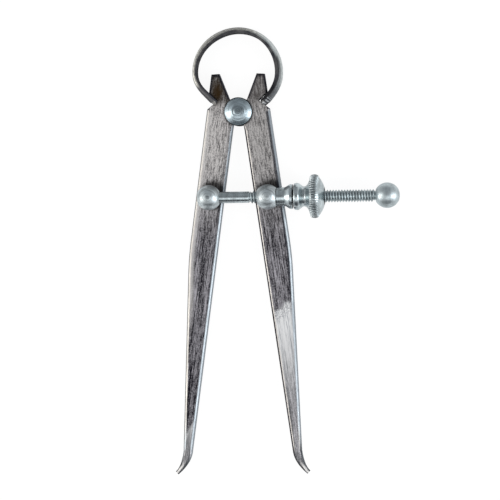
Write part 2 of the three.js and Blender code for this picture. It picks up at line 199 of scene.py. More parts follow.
def colour(given):
    """A colour of three numbers gets its fourth."""
    return given if isinstance(given, Value) else (*given, 1.0)


print("value class ready")

# %% Sheets and finishes
class Sheet:
    """A node tree that starts empty, with one way to add a node."""

    def __init__(self, tree):
        self.tree = tree
        tree.nodes.clear()

    def feed(self, socket, given):
        """Link a value to a socket, or set the socket to a plain number, colour or vector."""
        if isinstance(given, Value):
            self.tree.links.new(given.socket, socket)
        else:
            socket.default_value = given

    def add(self, kind, settings=None, sockets=None):
        node = self.tree.nodes.new(kind)
        for name, setting in (settings or {}).items():
            setattr(node, name, setting)
        for key, given in (sockets or {}).items():
            self.feed(node.inputs[key], given)
        return Outputs(self, node)

    def mix(self, factor, first, second):
        """Two colours mixed; a Mix node takes its colours at sockets 6 and 7 and gives one at 2."""
        sockets = {0: factor, 6: colour(first), 7: colour(second)}
        return self.add("ShaderNodeMix", {"data_type": "RGBA"}, sockets)[2]

    def vector(self, operation, first, second):
        settings = {"operation": operation}
        return self.add("ShaderNodeVectorMath", settings, {0: first, 1: second})["Vector"]

    def length(self, vector):
        return self.add("ShaderNodeVectorMath", {"operation": "LENGTH"}, {0: vector})["Value"]

    def point(self, x=0.0, y=0.0, z=0.0):
        return self.add("ShaderNodeCombineXYZ", {}, {"X": x, "Y": y, "Z": z})["Vector"]

    def parts(self, vector):
        split = self.add("ShaderNodeSeparateXYZ", {}, {0: vector})
        return split["X"], split["Y"], split["Z"]

    def noise(self, place, scale, detail=2.0, roughness=0.6):
        sockets = {"Vector": place, "Scale": scale, "Detail": detail, "Roughness": roughness}
        return self.add("ShaderNodeTexNoise", {}, sockets)["Fac"]

    def attribute(self, name):
        return self.add("ShaderNodeAttribute", {"attribute_name": name})["Fac"]


class Finish(Sheet):
    """The sheet of a metal: a material with one surface shader."""

    def __init__(self, name):
        self.material = bpy.data.materials.new(name)
        self.material.use_nodes = True
        super().__init__(self.material.node_tree)
        self.place = self.add("ShaderNodeTexCoord")["Object"]
        self.shader = self.add("ShaderNodeBsdfPrincipled", {}, {"Metallic": 1.0})
        self.add("ShaderNodeOutputMaterial", {}, {"Surface": self.shader["BSDF"]})

    def set(self, key, given):
        self.feed(self.shader.node.inputs[key], given)

    def bump(self, height, distance):
        """Tilt the surface as if it were raised by the distance where the height is 1."""
        raised = self.add("ShaderNodeBump", {}, {"Height": height, "Distance": distance})
        self.set("Normal", raised["Normal"])


def darker(tint, share):
    return [part * share for part in tint]


print("sheet classes ready")

# %% [markdown]
# ## Floor, world and lamps
# The tool was photographed on white. A floor that is simply lit to white would need far more
# light than the metal can take, so the camera sees mostly plain white from it, and reflections
# see a part of that. The rest of its look still comes from the light, which keeps the shadow.
# The metal shows what stands round it: two soft lamps left and right, and a grey room with pale
# sides. A bright patch overhead to the south, a dark one low in the south and a paler one low in
# the north lay the light and dark bands along the screw, the collar and the nut.

# %% Floor
# The floor's sizes are in metres, as the lamps' are: they are no part of the drawing.
FLOOR_HALF, FLOOR_HEIGHT = 3.0, -0.0001
PAPER_GREY, PAPER_GLOW = 0.86, 1.1
PAPER_SHARE, MIRRORED_SHARE = 0.84, 0.45

paper = bpy.data.materials.new("white_paper")
paper.use_nodes = True
paper_sheet = Sheet(paper.node_tree)
# 1 for rays from the camera or through something clear, less for what a reflection sees
rays = paper_sheet.add("ShaderNodeLightPath")
looks = rays["Is Camera Ray"].largest(rays["Is Transmission Ray"])
looks = looks.largest(rays["Is Glossy Ray"] * MIRRORED_SHARE)
lit = paper_sheet.add("ShaderNodeBsdfDiffuse", {}, {"Color": colour([PAPER_GREY] * 3)})
glow = paper_sheet.add("ShaderNodeEmission", {}, {"Color": colour([1] * 3), "Strength": PAPER_GLOW})
mixed = paper_sheet.add("ShaderNodeMixShader", {}, {
    0: looks * PAPER_SHARE, 1: lit["BSDF"], 2: glow["Emission"]})
paper_sheet.add("ShaderNodeOutputMaterial", {}, {"Surface": mixed["Shader"]})

floor_mesh = bpy.data.meshes.new("floor")
floor_mesh.from_pydata(
    [(x * FLOOR_HALF, y * FLOOR_HALF, FLOOR_HEIGHT) for x, y in ((-1, -1), (1, -1), (1, 1), (-1, 1))],
    [], [(0, 1, 2, 3)])
floor_mesh.materials.append(paper)
floor = put_in_scene("floor", floor_mesh)
floor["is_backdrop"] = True
print("floor in place")

# %% World
ROOM_TONE, PALE_SIDES = (0.20, 0.206, 0.215), (0.80, 0.80, 0.81)
PALER, BRIGHT, DARK = (0.42, 0.44, 0.46), (1.30, 1.31, 1.32), (0.06, 0.066, 0.075)

world = bpy.data.worlds.new("room")
bpy.context.scene.world = world
world.use_nodes = True
room = Sheet(world.node_tree)
east, north, up = room.parts(room.add("ShaderNodeTexCoord")["Generated"])
south = 0.0 - north
sides = east.absolute().fade(0.35, 0.85)
low_north = north.fade(0.20, 0.50) * up.fade(0.05, 0.30)
high_south = south.fade(0.06, 0.30) * up.fade(0.66, 0.82)
low_south = south.fade(0.55, 0.85) * up.fade(0.70, 0.50)
grey = room.mix(sides, ROOM_TONE, PALE_SIDES)
grey = room.mix(low_north * 0.6, grey, PALER)
grey = room.mix(high_south, grey, BRIGHT)
grey = room.mix(low_south * 0.85, grey, DARK)
lit_room = room.add("ShaderNodeBackground", {}, {"Color": grey})
white_room = room.add("ShaderNodeBackground", {}, {"Color": colour([1] * 3)})
camera_only = room.add("ShaderNodeLightPath")["Is Camera Ray"]
both = room.add("ShaderNodeMixShader", {}, {
    0: camera_only, 1: lit_room["Background"], 2: white_room["Background"]})
room.add("ShaderNodeOutputWorld", {}, {"Surface": both["Shader"]})
print("world in place")

# %% Lamps
LAMP_DISTANCE, LAMP_WATTS = 0.75, 1.9
# name: azimuth from +X and elevation in degrees, width, height, colour
LAMPS = {
    "left_lamp": (188, 30, 0.40, 0.62, (1.0, 0.965, 0.91)),
    "right_lamp": (-8, 28, 0.42, 0.60, (0.93, 0.97, 1.0)),
}
for name, (azimuth, elevation, width, height, tint) in LAMPS.items():
    lamp_data = bpy.data.lights.new(name, "AREA")
    lamp_data.shape = "RECTANGLE"
    lamp_data.size, lamp_data.size_y = width, height
    lamp_data.energy, lamp_data.color = LAMP_WATTS, tint
    lamp = put_in_scene(name, lamp_data)
    turn, rise = math.radians(azimuth), math.radians(elevation)
    out = Vector((math.cos(turn) * math.cos(rise), math.sin(turn) * math.cos(rise), math.sin(rise)))
    lamp.location = VIEW_CENTRE * MM + out * LAMP_DISTANCE
    lamp.rotation_euler = out.to_track_quat("Z", "Y").to_euler()
bpy.context.scene.view_settings.view_transform = "Standard"
print("lamps:", ", ".join(LAMPS))

# %% [markdown]
# ## Making meshes
# Most pieces are a list of points and faces in millimetres. The helper below turns it into a mesh
# in metres, welds doubled points, points the faces outwards, and shades it smooth but for the
# edges that turn sharply. Numbers that a finish needs, such as how far along the leg a point is,
# ride along with the points as attributes.

# %% Mesh helpers
# Points nearer than the first, in metres, are one; edges that turn more than the second are sharp.
WELD = 1e-7
CREASE = math.radians(32)


def make_piece(name, points, faces, finish, marks=None):
    mesh = bpy.data.meshes.new(name)
    mesh.from_pydata([Vector(point) * MM for point in points], [], faces)
    for mark, numbers in (marks or {}).items():
        mesh.attributes.new(mark, "FLOAT", "POINT").data.foreach_set("value", numbers)
    mesh.materials.append(finish.material)
    piece = put_in_scene(name, mesh)
    tidy(piece)
    return piece


def tidy(piece):
    """Weld, point outwards, and shade smooth between sharp edges."""
    mesh = bmesh.new()
    mesh.from_mesh(piece.data)
    bmesh.ops.remove_doubles(mesh, verts=mesh.verts, dist=WELD)
    bmesh.ops.recalc_face_normals(mesh, faces=mesh.faces)
    for face in mesh.faces:
        face.smooth = True
    for edge in mesh.edges:
        edge.smooth = len(edge.link_faces) == 2 and edge.calc_face_angle(0) < CREASE
    mesh.to_mesh(piece.data)
    mesh.free()


def skin(count, rings, first=0):
    """Faces between rings of points, each of the same count, that follow one another."""
    faces = []
    for ring in range(rings - 1):
        start = first + ring * count
        for step in range(count):
            a, b = start + step, start + (step + 1) % count
            faces.append((a, b, b + count, a + count))
    return faces


def settle(piece):
    """Make what the modifiers show the piece's own mesh, and take them off."""
    graph = bpy.context.evaluated_depsgraph_get()
    mesh = bpy.data.meshes.new_from_object(piece.evaluated_get(graph), depsgraph=graph)
    piece.modifiers.clear()
    mesh.name = piece.name
    piece.data = mesh


def cut(piece, tool):
    """Cut a tool out of a piece, and drop the tool."""
    modifier = piece.modifiers.new("cut", "BOOLEAN")
    modifier.operation, modifier.solver, modifier.object = "DIFFERENCE", "EXACT", tool
    settle(piece)
    bpy.data.objects.remove(tool)
    tidy(piece)


print("mesh helpers ready")

# %% [markdown]
# ## Turned pieces
# The spool, studs, collar, nut and balls are all turned on a lathe, so each is an outline of
# radius and place that is spun about its axis. A real turned piece has no perfectly sharp corner,
# and it is the small rounding there that catches the light, so each corner of an outline may name
# how far it is rounded.

# %% Outlines and turning
CORNER_STEPS, BEND_STEPS, SWAY_STEPS, ARC_STEPS = 4, 10, 16, 24
TURN_STEPS = 96
ON_AXIS = 1e-6


def bend(start, corner, end, steps=BEND_STEPS):
    """A smooth bend from one point to another, drawn towards a corner between them."""
    start, corner, end = Vector(start), Vector(corner), Vector(end)
    shares = [step / steps for step in range(steps + 1)]
    return [start * (1 - s) ** 2 + corner * 2 * s * (1 - s) + end * s ** 2 for s in shares]


def rounded(corners, closed=False):
    """An outline from corners (radius, place, rounding); the rounding may be left out."""
    outline = []
    count = len(corners)
    for index, corner in enumerate(corners):
        here = Vector(corner[:2])
        open_end = not closed and index in (0, count - 1)
        if len(corner) < 3 or open_end:
            outline.append(here)
            continue
        before = (Vector(corners[index - 1][:2]) - here).normalized() * corner[2]
        after = (Vector(corners[(index + 1) % count][:2]) - here).normalized() * corner[2]
        outline += bend(here + before, here, here + after, CORNER_STEPS)
    return outline


def arc(centre, radius, start, end, steps=ARC_STEPS):
    """Points (radius, place) of a circle about a point of the axis."""
    angles = [start + (end - start) * step / steps for step in range(steps + 1)]
    return [(max(0.0, radius * math.cos(angle)), centre + radius * math.sin(angle))
            for angle in angles]


def sway(start, end):
    """An S-shaped run from one outline point to another, along the axis at both ends."""
    (radius, place), (last_radius, last_place) = start, end
    shares = [step / SWAY_STEPS for step in range(SWAY_STEPS + 1)]
    return [(radius + (last_radius - radius) * (1 - math.cos(math.pi * s)) / 2,
             place + (last_place - place) * s) for s in shares]


def turned(name, outline, finish, axis="z", centre=Vector(), closed=False, steps=TURN_STEPS):
    """Spin an outline about an axis; a closed outline stays clear of the axis and has a bore."""
    points, rings, faces = [], [], []
    for radius, place in outline:
        start = len(points)
        turns = 1 if radius < ON_AXIS else steps
        for step in range(turns):
            angle = math.tau * step / steps
            a, b = radius * math.cos(angle), radius * math.sin(angle)
            points.append(centre + Vector((a, b, place) if axis == "z" else (place, a, b)))
        rings.append([start + step % turns for step in range(steps)])
    next_rings = rings[1:] + rings[:1] if closed else rings[1:]
    for low, high in zip(rings, next_rings):
        for step in range(steps):
            after = (step + 1) % steps
            face = list(dict.fromkeys((low[step], low[after], high[after], high[step])))
            if len(face) > 2:
                faces.append(face)
    return make_piece(name, points, faces, finish)


print("lathe ready")

# %% [markdown]
# ## Zinc plate on turned steel
# The small parts are turned and then plated bright. Turning leaves fine rings round the axis,
# and the plate is bluish and clouded. The rings are noise that sees the distance from the axis,
# or for parts along the screw the place along it, and very little else, so it comes out as rings
# by itself. They tilt the surface a little, which breaks up the reflections as on the real heads.
# The thread has a plate of its own, duller than the shank's.

# %% Plated finish
CLOUDED, SHADED = 0.74, 0.40
RING_SHADE = (0.02, 0.025, 0.03)


def plated(name, centre, along_screw, base=(0.63, 0.71, 0.735), ring_step=0.5, ring_depth=0.04,
           ring_tint=0.65, smooth=0.24, rough=0.40, shade_rings=()):
    """Sizes are in millimetres; a shade ring is a ring of painted shade: its place on X or its
    radius, half its width, and how dark it is."""
    finish = Finish(name)
    local = finish.vector("SUBTRACT", finish.place, tuple(centre * MM))
    local = finish.vector("MULTIPLY", local, (1 / MM, 1 / MM, 1 / MM))
    x, y = finish.parts(local)[:2]
    if along_screw:
        ring_place = x
        wobble = finish.vector("MULTIPLY", local, (1.0, 0.05, 0.05))
    else:
        ring_place = finish.length(finish.point(x, y))
        wobble = finish.point(ring_place, x * 0.10, y * 0.10)
    grooves = finish.noise(wobble, 1 / ring_step)
    clouds = finish.noise(local, 0.45, detail=4.0)
    specks = finish.noise(local, 2.8, roughness=0.5)
    dark = darker(base, SHADED)
    plate = finish.mix(clouds.fade(0.35, 0.68), base, darker(base, CLOUDED))
    plate = finish.mix(grooves.fade(0.52, 0.40) * ring_tint, plate, dark)
    plate = finish.mix(specks.fade(0.38, 0.30) * clouds.fade(0.46, 0.60) * 0.8, plate, dark)
    for shade_place, half_width, strength in shade_rings:
        near = (ring_place - shade_place).absolute().fade(half_width * 1.3, half_width * 0.7)
        plate = finish.mix(near * strength, plate, RING_SHADE)
    finish.set("Base Color", plate)
    finish.set("Roughness", clouds.fade(0.3, 0.75, smooth, rough))
    finish.bump(grooves + specks * 0.15, ring_depth * MM)
    return finish


frosted = {"base": (0.70, 0.77, 0.795), "ring_depth": 0.06, "smooth": 0.36, "rough": 0.52}
left_stud_plate = plated("left_stud_plate", LEFT_STUD, False, **frosted)
right_stud_plate = plated("right_stud_plate", RIGHT_STUD, False, **frosted)
fine_rings = {"ring_depth": 0.012, "ring_tint": 0.3}
screw_plate = plated("screw_plate", LEFT_AXIS, True, smooth=0.20, rough=0.34, **fine_rings)
thread_plate = plated("thread_plate", LEFT_AXIS, True, base=(0.60, 0.68, 0.705), smooth=0.40,
                      rough=0.54, **fine_rings)
print("plated finishes ready")

# %% [markdown]
# ## Fulcrum spool
# The spool is one turned piece: a flat flange at the back, a core that the legs' round notches
# turn on, and a domed head that hides them. Spinning one outline gives all three.

# %% Fulcrum spool
FLANGE_RADIUS, FLANGE_THICKNESS, CORE_RADIUS = 4.0, 1.2, 2.4
# painted shade in the middle of the dome, and a painted shadow round the head's rim
spool_plate = plated("spool_plate", Vector(), False, base=(0.54, 0.64, 0.69), ring_step=0.55,
                     ring_depth=0.13, ring_tint=0.4, smooth=0.22, rough=0.38,
                     shade_rings=[(0.5, 1.3, 0.3), (FLANGE_RADIUS, 0.2, 1.0)])
HEAD_RIM, HEAD_DOME, DOME_SET_IN = 0.35, 1.65, 0.03
dome_radius = (FLANGE_RADIUS ** 2 + HEAD_DOME ** 2) / (2 * HEAD_DOME)
dome_top = HEAD_SEAT + HEAD_RIM + HEAD_DOME
dome_start = math.acos(FLANGE_RADIUS / dome_radius) + DOME_SET_IN
dome = arc(dome_top - dome_radius, dome_radius, dome_start, math.pi / 2)
spool_outline = rounded([
    (0, 0), (FLANGE_RADIUS, 0, 0.25), (FLANGE_RADIUS, FLANGE_THICKNESS, 0.12),
    (CORE_RADIUS, FLANGE_THICKNESS, 0.1), (CORE_RADIUS, HEAD_SEAT, 0.1),
    (FLANGE_RADIUS, HEAD_SEAT, 0.12), (FLANGE_RADIUS, HEAD_SEAT + HEAD_RIM, 0.1),
    dome[0],
]) + dome[1:]
spool = turned("domed_spool", spool_outline, spool_plate)
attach(spool, "fulcrum")
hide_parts("fulcrum_spool")
print(f"spool head top at z = {dome_top:.2f} mm")

# %% [markdown]
# ## Studs
# Each leg carries a stud that turns in it: a peened foot behind, a shoulder in front and a ball
# head that is drilled across for the screw. The ball is spun like the spool, and the cross hole
# is cut with a boolean, because a drill makes it on the real one too.

# %% Studs with drilled ball heads
BALL_RADIUS, SHOULDER_RADIUS, SHANK_RADIUS = 3.5, 2.4, 1.6
PEEN_RADIUS, PEEN_THICKNESS = 2.2, 0.35
TAIL_HOLE, SCREW_HOLE = 1.75, 2.05
PIN_HOLE = 0.53
OVERRUN = 0.6
BALL_STEPS, DRILL_STEPS = 48, 64


def drill(piece, centre, radius, axis, start, end):
    hole = rounded([(0, start), (radius, start), (radius, end), (0, end)])
    cut(piece, turned("drill", hole, spool_plate, axis, centre, steps=DRILL_STEPS))


def ball_stud(name, centre, finish, hole_radius):
    shoulder_angle = -math.acos(SHOULDER_RADIUS / BALL_RADIUS)
    ball = arc(AXIS_HEIGHT, BALL_RADIUS, shoulder_angle, math.pi / 2, BALL_STEPS)
    outline = rounded([
        (0, 0), (PEEN_RADIUS, 0, 0.2), (PEEN_RADIUS, PEEN_THICKNESS, 0.1),
        (SHANK_RADIUS, PEEN_THICKNESS), (SHANK_RADIUS, HEAD_SEAT),
        (SHOULDER_RADIUS, HEAD_SEAT, 0.1), ball[0],
    ]) + ball[1:]
    stud = turned(name, outline, finish, centre=centre)
    reach = BALL_RADIUS + OVERRUN
    drill(stud, centre + Vector((0, 0, AXIS_HEIGHT)), hole_radius, "x", -reach, reach)
    return stud


left_ball = ball_stud("left_ball_stud", LEFT_STUD, left_stud_plate, TAIL_HOLE)
drill(left_ball, LEFT_AXIS, PIN_HOLE, "z", 0, BALL_RADIUS + OVERRUN)
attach(left_ball, "screw_carrier")
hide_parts("left_stud")

right_ball = ball_stud("right_ball_stud", RIGHT_STUD, right_stud_plate, SCREW_HOLE)
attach(right_ball, "nut_carrier")
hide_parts("right_stud")
print("stud triangles:", sum(len(face.vertices) - 2 for face in left_ball.data.polygons))

# %% [markdown]
# ## Washers and the lock pin
# Behind each leg a plain washer spreads the peened foot. On the left, a small pin goes through
# the top of the ball into the screw, so that the screw can't turn, and shows as a dull round
# spot in the plate.

# %% Plain steel, washers and pin
STEEL_SHADE, SCRATCH_DEPTH = 0.55, 0.004


def plain_steel(name, base):
    finish = Finish(name)
    clouds = finish.noise(finish.place, 900.0, detail=5.0)
    stretched = finish.vector("MULTIPLY", finish.place, (1, 7, 1))
    scratches = finish.noise(stretched, 1800.0, detail=3.0, roughness=0.5)
    finish.set("Base Color", finish.mix(clouds.fade(0.3, 0.75), base, darker(base, STEEL_SHADE)))
    finish.set("Roughness", clouds.fade(0.3, 0.7, 0.30, 0.50))
    finish.bump(scratches + clouds, SCRATCH_DEPTH * MM)
    return finish


washer_steel = plain_steel("washer_steel", (0.42, 0.43, 0.43))
pin_steel = plain_steel("pin_steel", (0.44, 0.49, 0.51))
WASHER_RADIUS, WASHER_BORE = 2.9, 1.8
washer_outline = rounded([
    (WASHER_BORE, PEEN_THICKNESS, 0.06), (WASHER_RADIUS, PEEN_THICKNESS, 0.15),
    (WASHER_RADIUS, FLANGE_THICKNESS, 0.15), (WASHER_BORE, FLANGE_THICKNESS, 0.06),
], closed=True)
for side, centre, body in (("left", LEFT_STUD, "screw_carrier"), ("right", RIGHT_STUD, "nut_carrier")):
    washer = turned(f"{side}_washer", washer_outline, washer_steel, centre=centre, closed=True)
    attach(washer, body)
    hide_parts(f"{side}_stud_washer")

PIN_RADIUS, PIN_DEPTH, PIN_DOME, PIN_STEPS = 0.5, 0.7, 0.02, 32
pin_top = math.sqrt(BALL_RADIUS ** 2 - PIN_RADIUS ** 2)
pin_outline = rounded([
    (0, -PIN_DEPTH), (PIN_RADIUS, -PIN_DEPTH, 0.1), (PIN_RADIUS, pin_top, 0.08),
    (0, pin_top + PIN_DOME)])
pin = turned("lock_pin", pin_outline, pin_steel, centre=LEFT_AXIS, steps=PIN_STEPS)
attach(pin, "screw_carrier")
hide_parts("screw_lock_pin")
print("washers and pin made")

# %% [markdown]
# ## Adjusting screw
# The screw has a plain shank at the left and a standard thread for the rest. A thread is one
# tooth shape swept along a helix, which is what Geometry Nodes do well: a spiral curve, a
# trapezoid as the tooth, and Curve to Mesh. The ridge sits slightly sunk in a plain turned core.
# Its pitch, depth and number of turns are inputs of the tree.

# %% A little help for node trees
def node_tree(name, inputs):
    """A geometry tree with named size inputs; gives its sheet and the inputs as values."""
    tree = bpy.data.node_groups.new(name, "GeometryNodeTree")
    kinds = {float: "NodeSocketFloat", int: "NodeSocketInt"}
    for label, start in inputs.items():
        socket = tree.interface.new_socket(label, in_out="INPUT", socket_type=kinds[type(start)])
        socket.default_value = start
    tree.interface.new_socket("Material", in_out="INPUT", socket_type="NodeSocketMaterial")
    tree.interface.new_socket("Geometry", in_out="OUTPUT", socket_type="NodeSocketGeometry")
    sheet = Sheet(tree)
    return sheet, sheet.add("NodeGroupInput")


def end_tree(sheet, geometry, material):
    real = sheet.add("GeometryNodeRealizeInstances", {}, {"Geometry": geometry})["Geometry"]
    coated = sheet.add("GeometryNodeSetMaterial", {}, {"Geometry": real, "Material": material})
    sheet.add("NodeGroupOutput", {}, {"Geometry": coated["Geometry"]})


def grow(name, sheet, sizes, finish):
    """Run a tree on an empty mesh and keep the result as a plain piece."""
    piece = put_in_scene(name, bpy.data.meshes.new(name))
    modifier = piece.modifiers.new(name, "NODES")
    modifier.node_group = sheet.tree
    given = {**sizes, "Material": finish.material}
    for item in sheet.tree.interface.items_tree:
        if item.in_out == "INPUT":
            modifier[item.identifier] = given[item.name]
    settle(piece)
    return piece


def trapezoid(sheet, bottom, top, height):
    sockets = {"Bottom Width": bottom, "Top Width": top, "Height": height, "Offset": 0.0}
    settings = {"mode": "TRAPEZOID"}
    return sheet.add("GeometryNodeCurvePrimitiveQuadrilateral", settings, sockets)["Curve"]


def sweep(sheet, path, profile, scale):
    """Draw a profile along a path, scaled as it goes, with its ends closed."""
    return sheet.add("GeometryNodeCurveToMesh", {}, {
        "Curve": path, "Profile Curve": profile, "Scale": scale, "Fill Caps": True})["Mesh"]


print("node helpers ready")

# %% Thread as a ridge along a helix
PITCH, MAJOR_RADIUS, MINOR_RADIUS = 0.794, 1.75, 1.27
THREAD_START, THREAD_END = 11.4, 46.7
CREST_WIDTH, SUNK = 0.11, 0.06
# in turns of the thread: the gap at each end, and the run over which the ridge fades out
END_GAP, RUN_OUT, LEAST_SCALE = 0.3, 0.45, 0.05
thread_sizes = {
    "Pitch": PITCH * MM, "Turns": (THREAD_END - THREAD_START) / PITCH - 2 * END_GAP,
    "Root Radius": MINOR_RADIUS * MM, "Depth": (MAJOR_RADIUS - MINOR_RADIUS) * MM,
    "Crest Width": CREST_WIDTH * MM, "Sunk": SUNK * MM, "Run Out": RUN_OUT, "Steps": 40}
thread, size = node_tree("thread", thread_sizes)
spiral = thread.add("GeometryNodeCurveSpiral", {}, {
    "Resolution": size["Steps"], "Rotations": size["Turns"], "Start Radius": size["Root Radius"],
    "End Radius": size["Root Radius"], "Height": size["Pitch"] * size["Turns"],
    "Reverse": True})["Curve"]
upright = thread.add("GeometryNodeSetCurveNormal", {"mode": "Z_UP"}, {"Curve": spiral})["Curve"]
tooth_height = size["Depth"] + size["Sunk"]
tooth = thread.add("GeometryNodeTransform", {}, {
    "Geometry": trapezoid(thread, size["Pitch"], size["Crest Width"], tooth_height),
    "Rotation": (0, 0, -math.pi / 2),
    "Translation": thread.point(tooth_height * 0.5 - size["Sunk"])})["Geometry"]
turns_done = thread.add("GeometryNodeSplineParameter")["Factor"] * size["Turns"]
from_end = turns_done.smallest(size["Turns"] - turns_done)
fading = (from_end / size["Run Out"]).smallest(1.0).largest(LEAST_SCALE)
end_tree(thread, sweep(thread, upright, tooth, fading), size["Material"])

ridge = grow("thread_ridge", thread, thread_sizes, thread_plate)
lay_along_x = Matrix.Rotation(math.pi / 2, 4, "Y")
first_turn = LEFT_AXIS + Vector((THREAD_START + PITCH * END_GAP, 0, 0))
ridge.data.transform(Matrix.Translation(first_turn * MM) @ lay_along_x)
print(f"thread of {thread_sizes['Turns']:.1f} turns, {len(ridge.data.polygons)} faces")

# %% Shank, core and spigot, with the ridge on the core
SCREW_TAIL, BALL_CENTRE, END_BALL_RADIUS = 2.6, 49.84, 3.55
SPIGOT_RADIUS, SPIGOT_DOME, BALL_BORE = 1.1, 0.2, 1.2
SHANK_CONE, SPIGOT_STEP = 0.08, 0.02


def join(piece, other):
    """Add another piece's mesh and its material to a piece, as one body of several shells."""
    for face in other.data.polygons:
        face.material_index = len(piece.data.materials)
    piece.data.materials.append(other.data.materials[0])
    mesh = bmesh.new()
    mesh.from_mesh(piece.data)
    mesh.from_mesh(other.data)
    mesh.to_mesh(piece.data)
    mesh.free()
    bpy.data.objects.remove(other)


ball_far = BALL_CENTRE + math.sqrt(END_BALL_RADIUS ** 2 - BALL_BORE ** 2)
screw_outline = rounded([
    (0, -SCREW_TAIL), (SHANK_RADIUS, -SCREW_TAIL, 0.2), (SHANK_RADIUS, THREAD_START, 0.14),
    (MINOR_RADIUS, THREAD_START + SHANK_CONE, 0.05), (MINOR_RADIUS, THREAD_END, 0.05),
    (SPIGOT_RADIUS, THREAD_END + SPIGOT_STEP), (SPIGOT_RADIUS, ball_far),
    (SPIGOT_RADIUS * 0.6, ball_far + SPIGOT_DOME * 0.8, 0.2), (0, ball_far + SPIGOT_DOME)])
screw = turned("cut_screw", screw_outline, screw_plate, "x", LEFT_AXIS)
join(screw, ridge)
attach(screw, "screw_carrier")
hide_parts("adjusting_screw")
print("screw faces:", len(screw.data.polygons))

# %% [markdown]
# ## End ball
# A ball is pressed on the screw's turned-down end, so that the nut can't come off. It has a small
# flat where it meets the thread, and the spigot's end shows as a faint nub on its far side.

# %% End ball
BALL_GAP, END_BALL_STEPS = 0.05, 56
ball_seat = THREAD_END + BALL_GAP - BALL_CENTRE
seat_angle = math.asin(ball_seat / END_BALL_RADIUS)
far_angle = math.acos(BALL_BORE / END_BALL_RADIUS)
ball_plate = plated("ball_plate", LEFT_AXIS, True, ring_step=2.0, ring_depth=0.08, ring_tint=0.15,
                    smooth=0.36, rough=0.50)
ball_outline = [(BALL_BORE, ball_seat)]
ball_outline += arc(0, END_BALL_RADIUS, seat_angle, far_angle, END_BALL_STEPS)
end_ball = turned("pressed_ball", ball_outline, ball_plate, "x",
                  LEFT_AXIS + Vector((BALL_CENTRE, 0, 0)), closed=True)
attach(end_ball, "screw_carrier")
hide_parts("end_ball")
print("end ball made")

# %% [markdown]
# ## Thrust collar
# The nut doesn't press on the ball head itself. A loose collar sits between them, cupped to fit
# the ball, so the head can turn against it while the nut goes round.

# %% Thrust collar
CUP_RADIUS, NECK_RADIUS, NECK_END = BALL_RADIUS + 0.2, 2.6, 4.6
COLLAR_RIM, RIM_PLACE, COLLAR_END, CUP_STEPS = 3.44, 6.6, 7.1, 10
# the dark ring at the collar's end is a painted shadow in the gap before the nut
collar_plate = plated("collar_plate", RIGHT_AXIS, True, ring_tint=0.35, smooth=0.22, rough=0.36,
                      shade_rings=[(COLLAR_END, 0.08, 1.0)])
cup = arc(0, CUP_RADIUS, math.acos(SCREW_HOLE / CUP_RADIUS), math.acos(NECK_RADIUS / CUP_RADIUS),
          CUP_STEPS)
flare = sway((NECK_RADIUS, NECK_END), (COLLAR_RIM, RIM_PLACE))
collar_outline = cup + flare + rounded([
    flare[-1], (COLLAR_RIM, COLLAR_END, 0.16), (SCREW_HOLE, COLLAR_END, 0.1), cup[0]])[1:-1]
collar = turned("cupped_collar", collar_outline, collar_plate, "x", RIGHT_AXIS, closed=True)
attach(collar, "nut_carrier")
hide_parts("thrust_collar")
print("collar made")

# %% [markdown]
# ## Knurled nut
# The nut is turned with a bead at its nose, a waist for the finger tips and a broad flange with a
# domed back. Its rim is knurled: straight teeth pressed in all round. One tooth is a short bar
# with tapered ends, and Geometry Nodes put a copy of it at each step round the rim. The teeth are
# a piece of their own, because their plate is paler than the body's.

# %% Nut body
NUT_START, NUT_END, NUT_RIM, KNURL_DEPTH = 7.45, 16.0, 6.0, 0.2
NOSE_RADIUS, BEAD_RADIUS, BEAD_PLACE = 3.35, 3.8, 8.35
WAIST_RADIUS, WAIST_PLACE, WAIST_END = 2.8, 10.3, 11.25
FLANGE_FOOT, FLANGE_CORNER, RIM_FRONT, RIM_BACK = (4.9, 11.85), 12.05, 12.9, 13.6
DOME_CORNER, DOME_END, DOME_STEPS, NUT_STEPS = (5.35, 15.0), (2.3, NUT_END), 18, 128
RIM_TOP = NUT_RIM - KNURL_DEPTH
nut_outline = [(SCREW_HOLE, NUT_START)]
nut_outline += bend((NOSE_RADIUS, NUT_START), (BEAD_RADIUS, NUT_START), (BEAD_RADIUS, BEAD_PLACE))
nut_outline += sway((BEAD_RADIUS, BEAD_PLACE), (WAIST_RADIUS, WAIST_PLACE))[1:]
nut_outline += bend((WAIST_RADIUS, WAIST_PLACE), (WAIST_RADIUS, WAIST_END), FLANGE_FOOT)[1:]
nut_outline += bend(FLANGE_FOOT, (RIM_TOP, FLANGE_CORNER), (RIM_TOP, RIM_FRONT))[1:]
nut_outline += bend((RIM_TOP, RIM_BACK), DOME_CORNER, DOME_END, DOME_STEPS)
nut_outline += [(SCREW_HOLE, NUT_END)]
# painted shade on the rim's front between the teeth, and at the bore at the back
nut_plate = plated("nut_plate", RIGHT_AXIS, True, base=(0.70, 0.785, 0.81), ring_tint=0.4, smooth=0.18,
                   rough=0.32, shade_rings=[(RIM_FRONT, 0.8, 0.5), (NUT_END + 0.1, 0.2, 1.0)])
nut = turned("knurled_nut_body", nut_outline, nut_plate, "x", RIGHT_AXIS, closed=True, steps=NUT_STEPS)
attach(nut, "nut")
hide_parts("knurled_nut")
print("nut body faces:", len(nut.data.polygons))

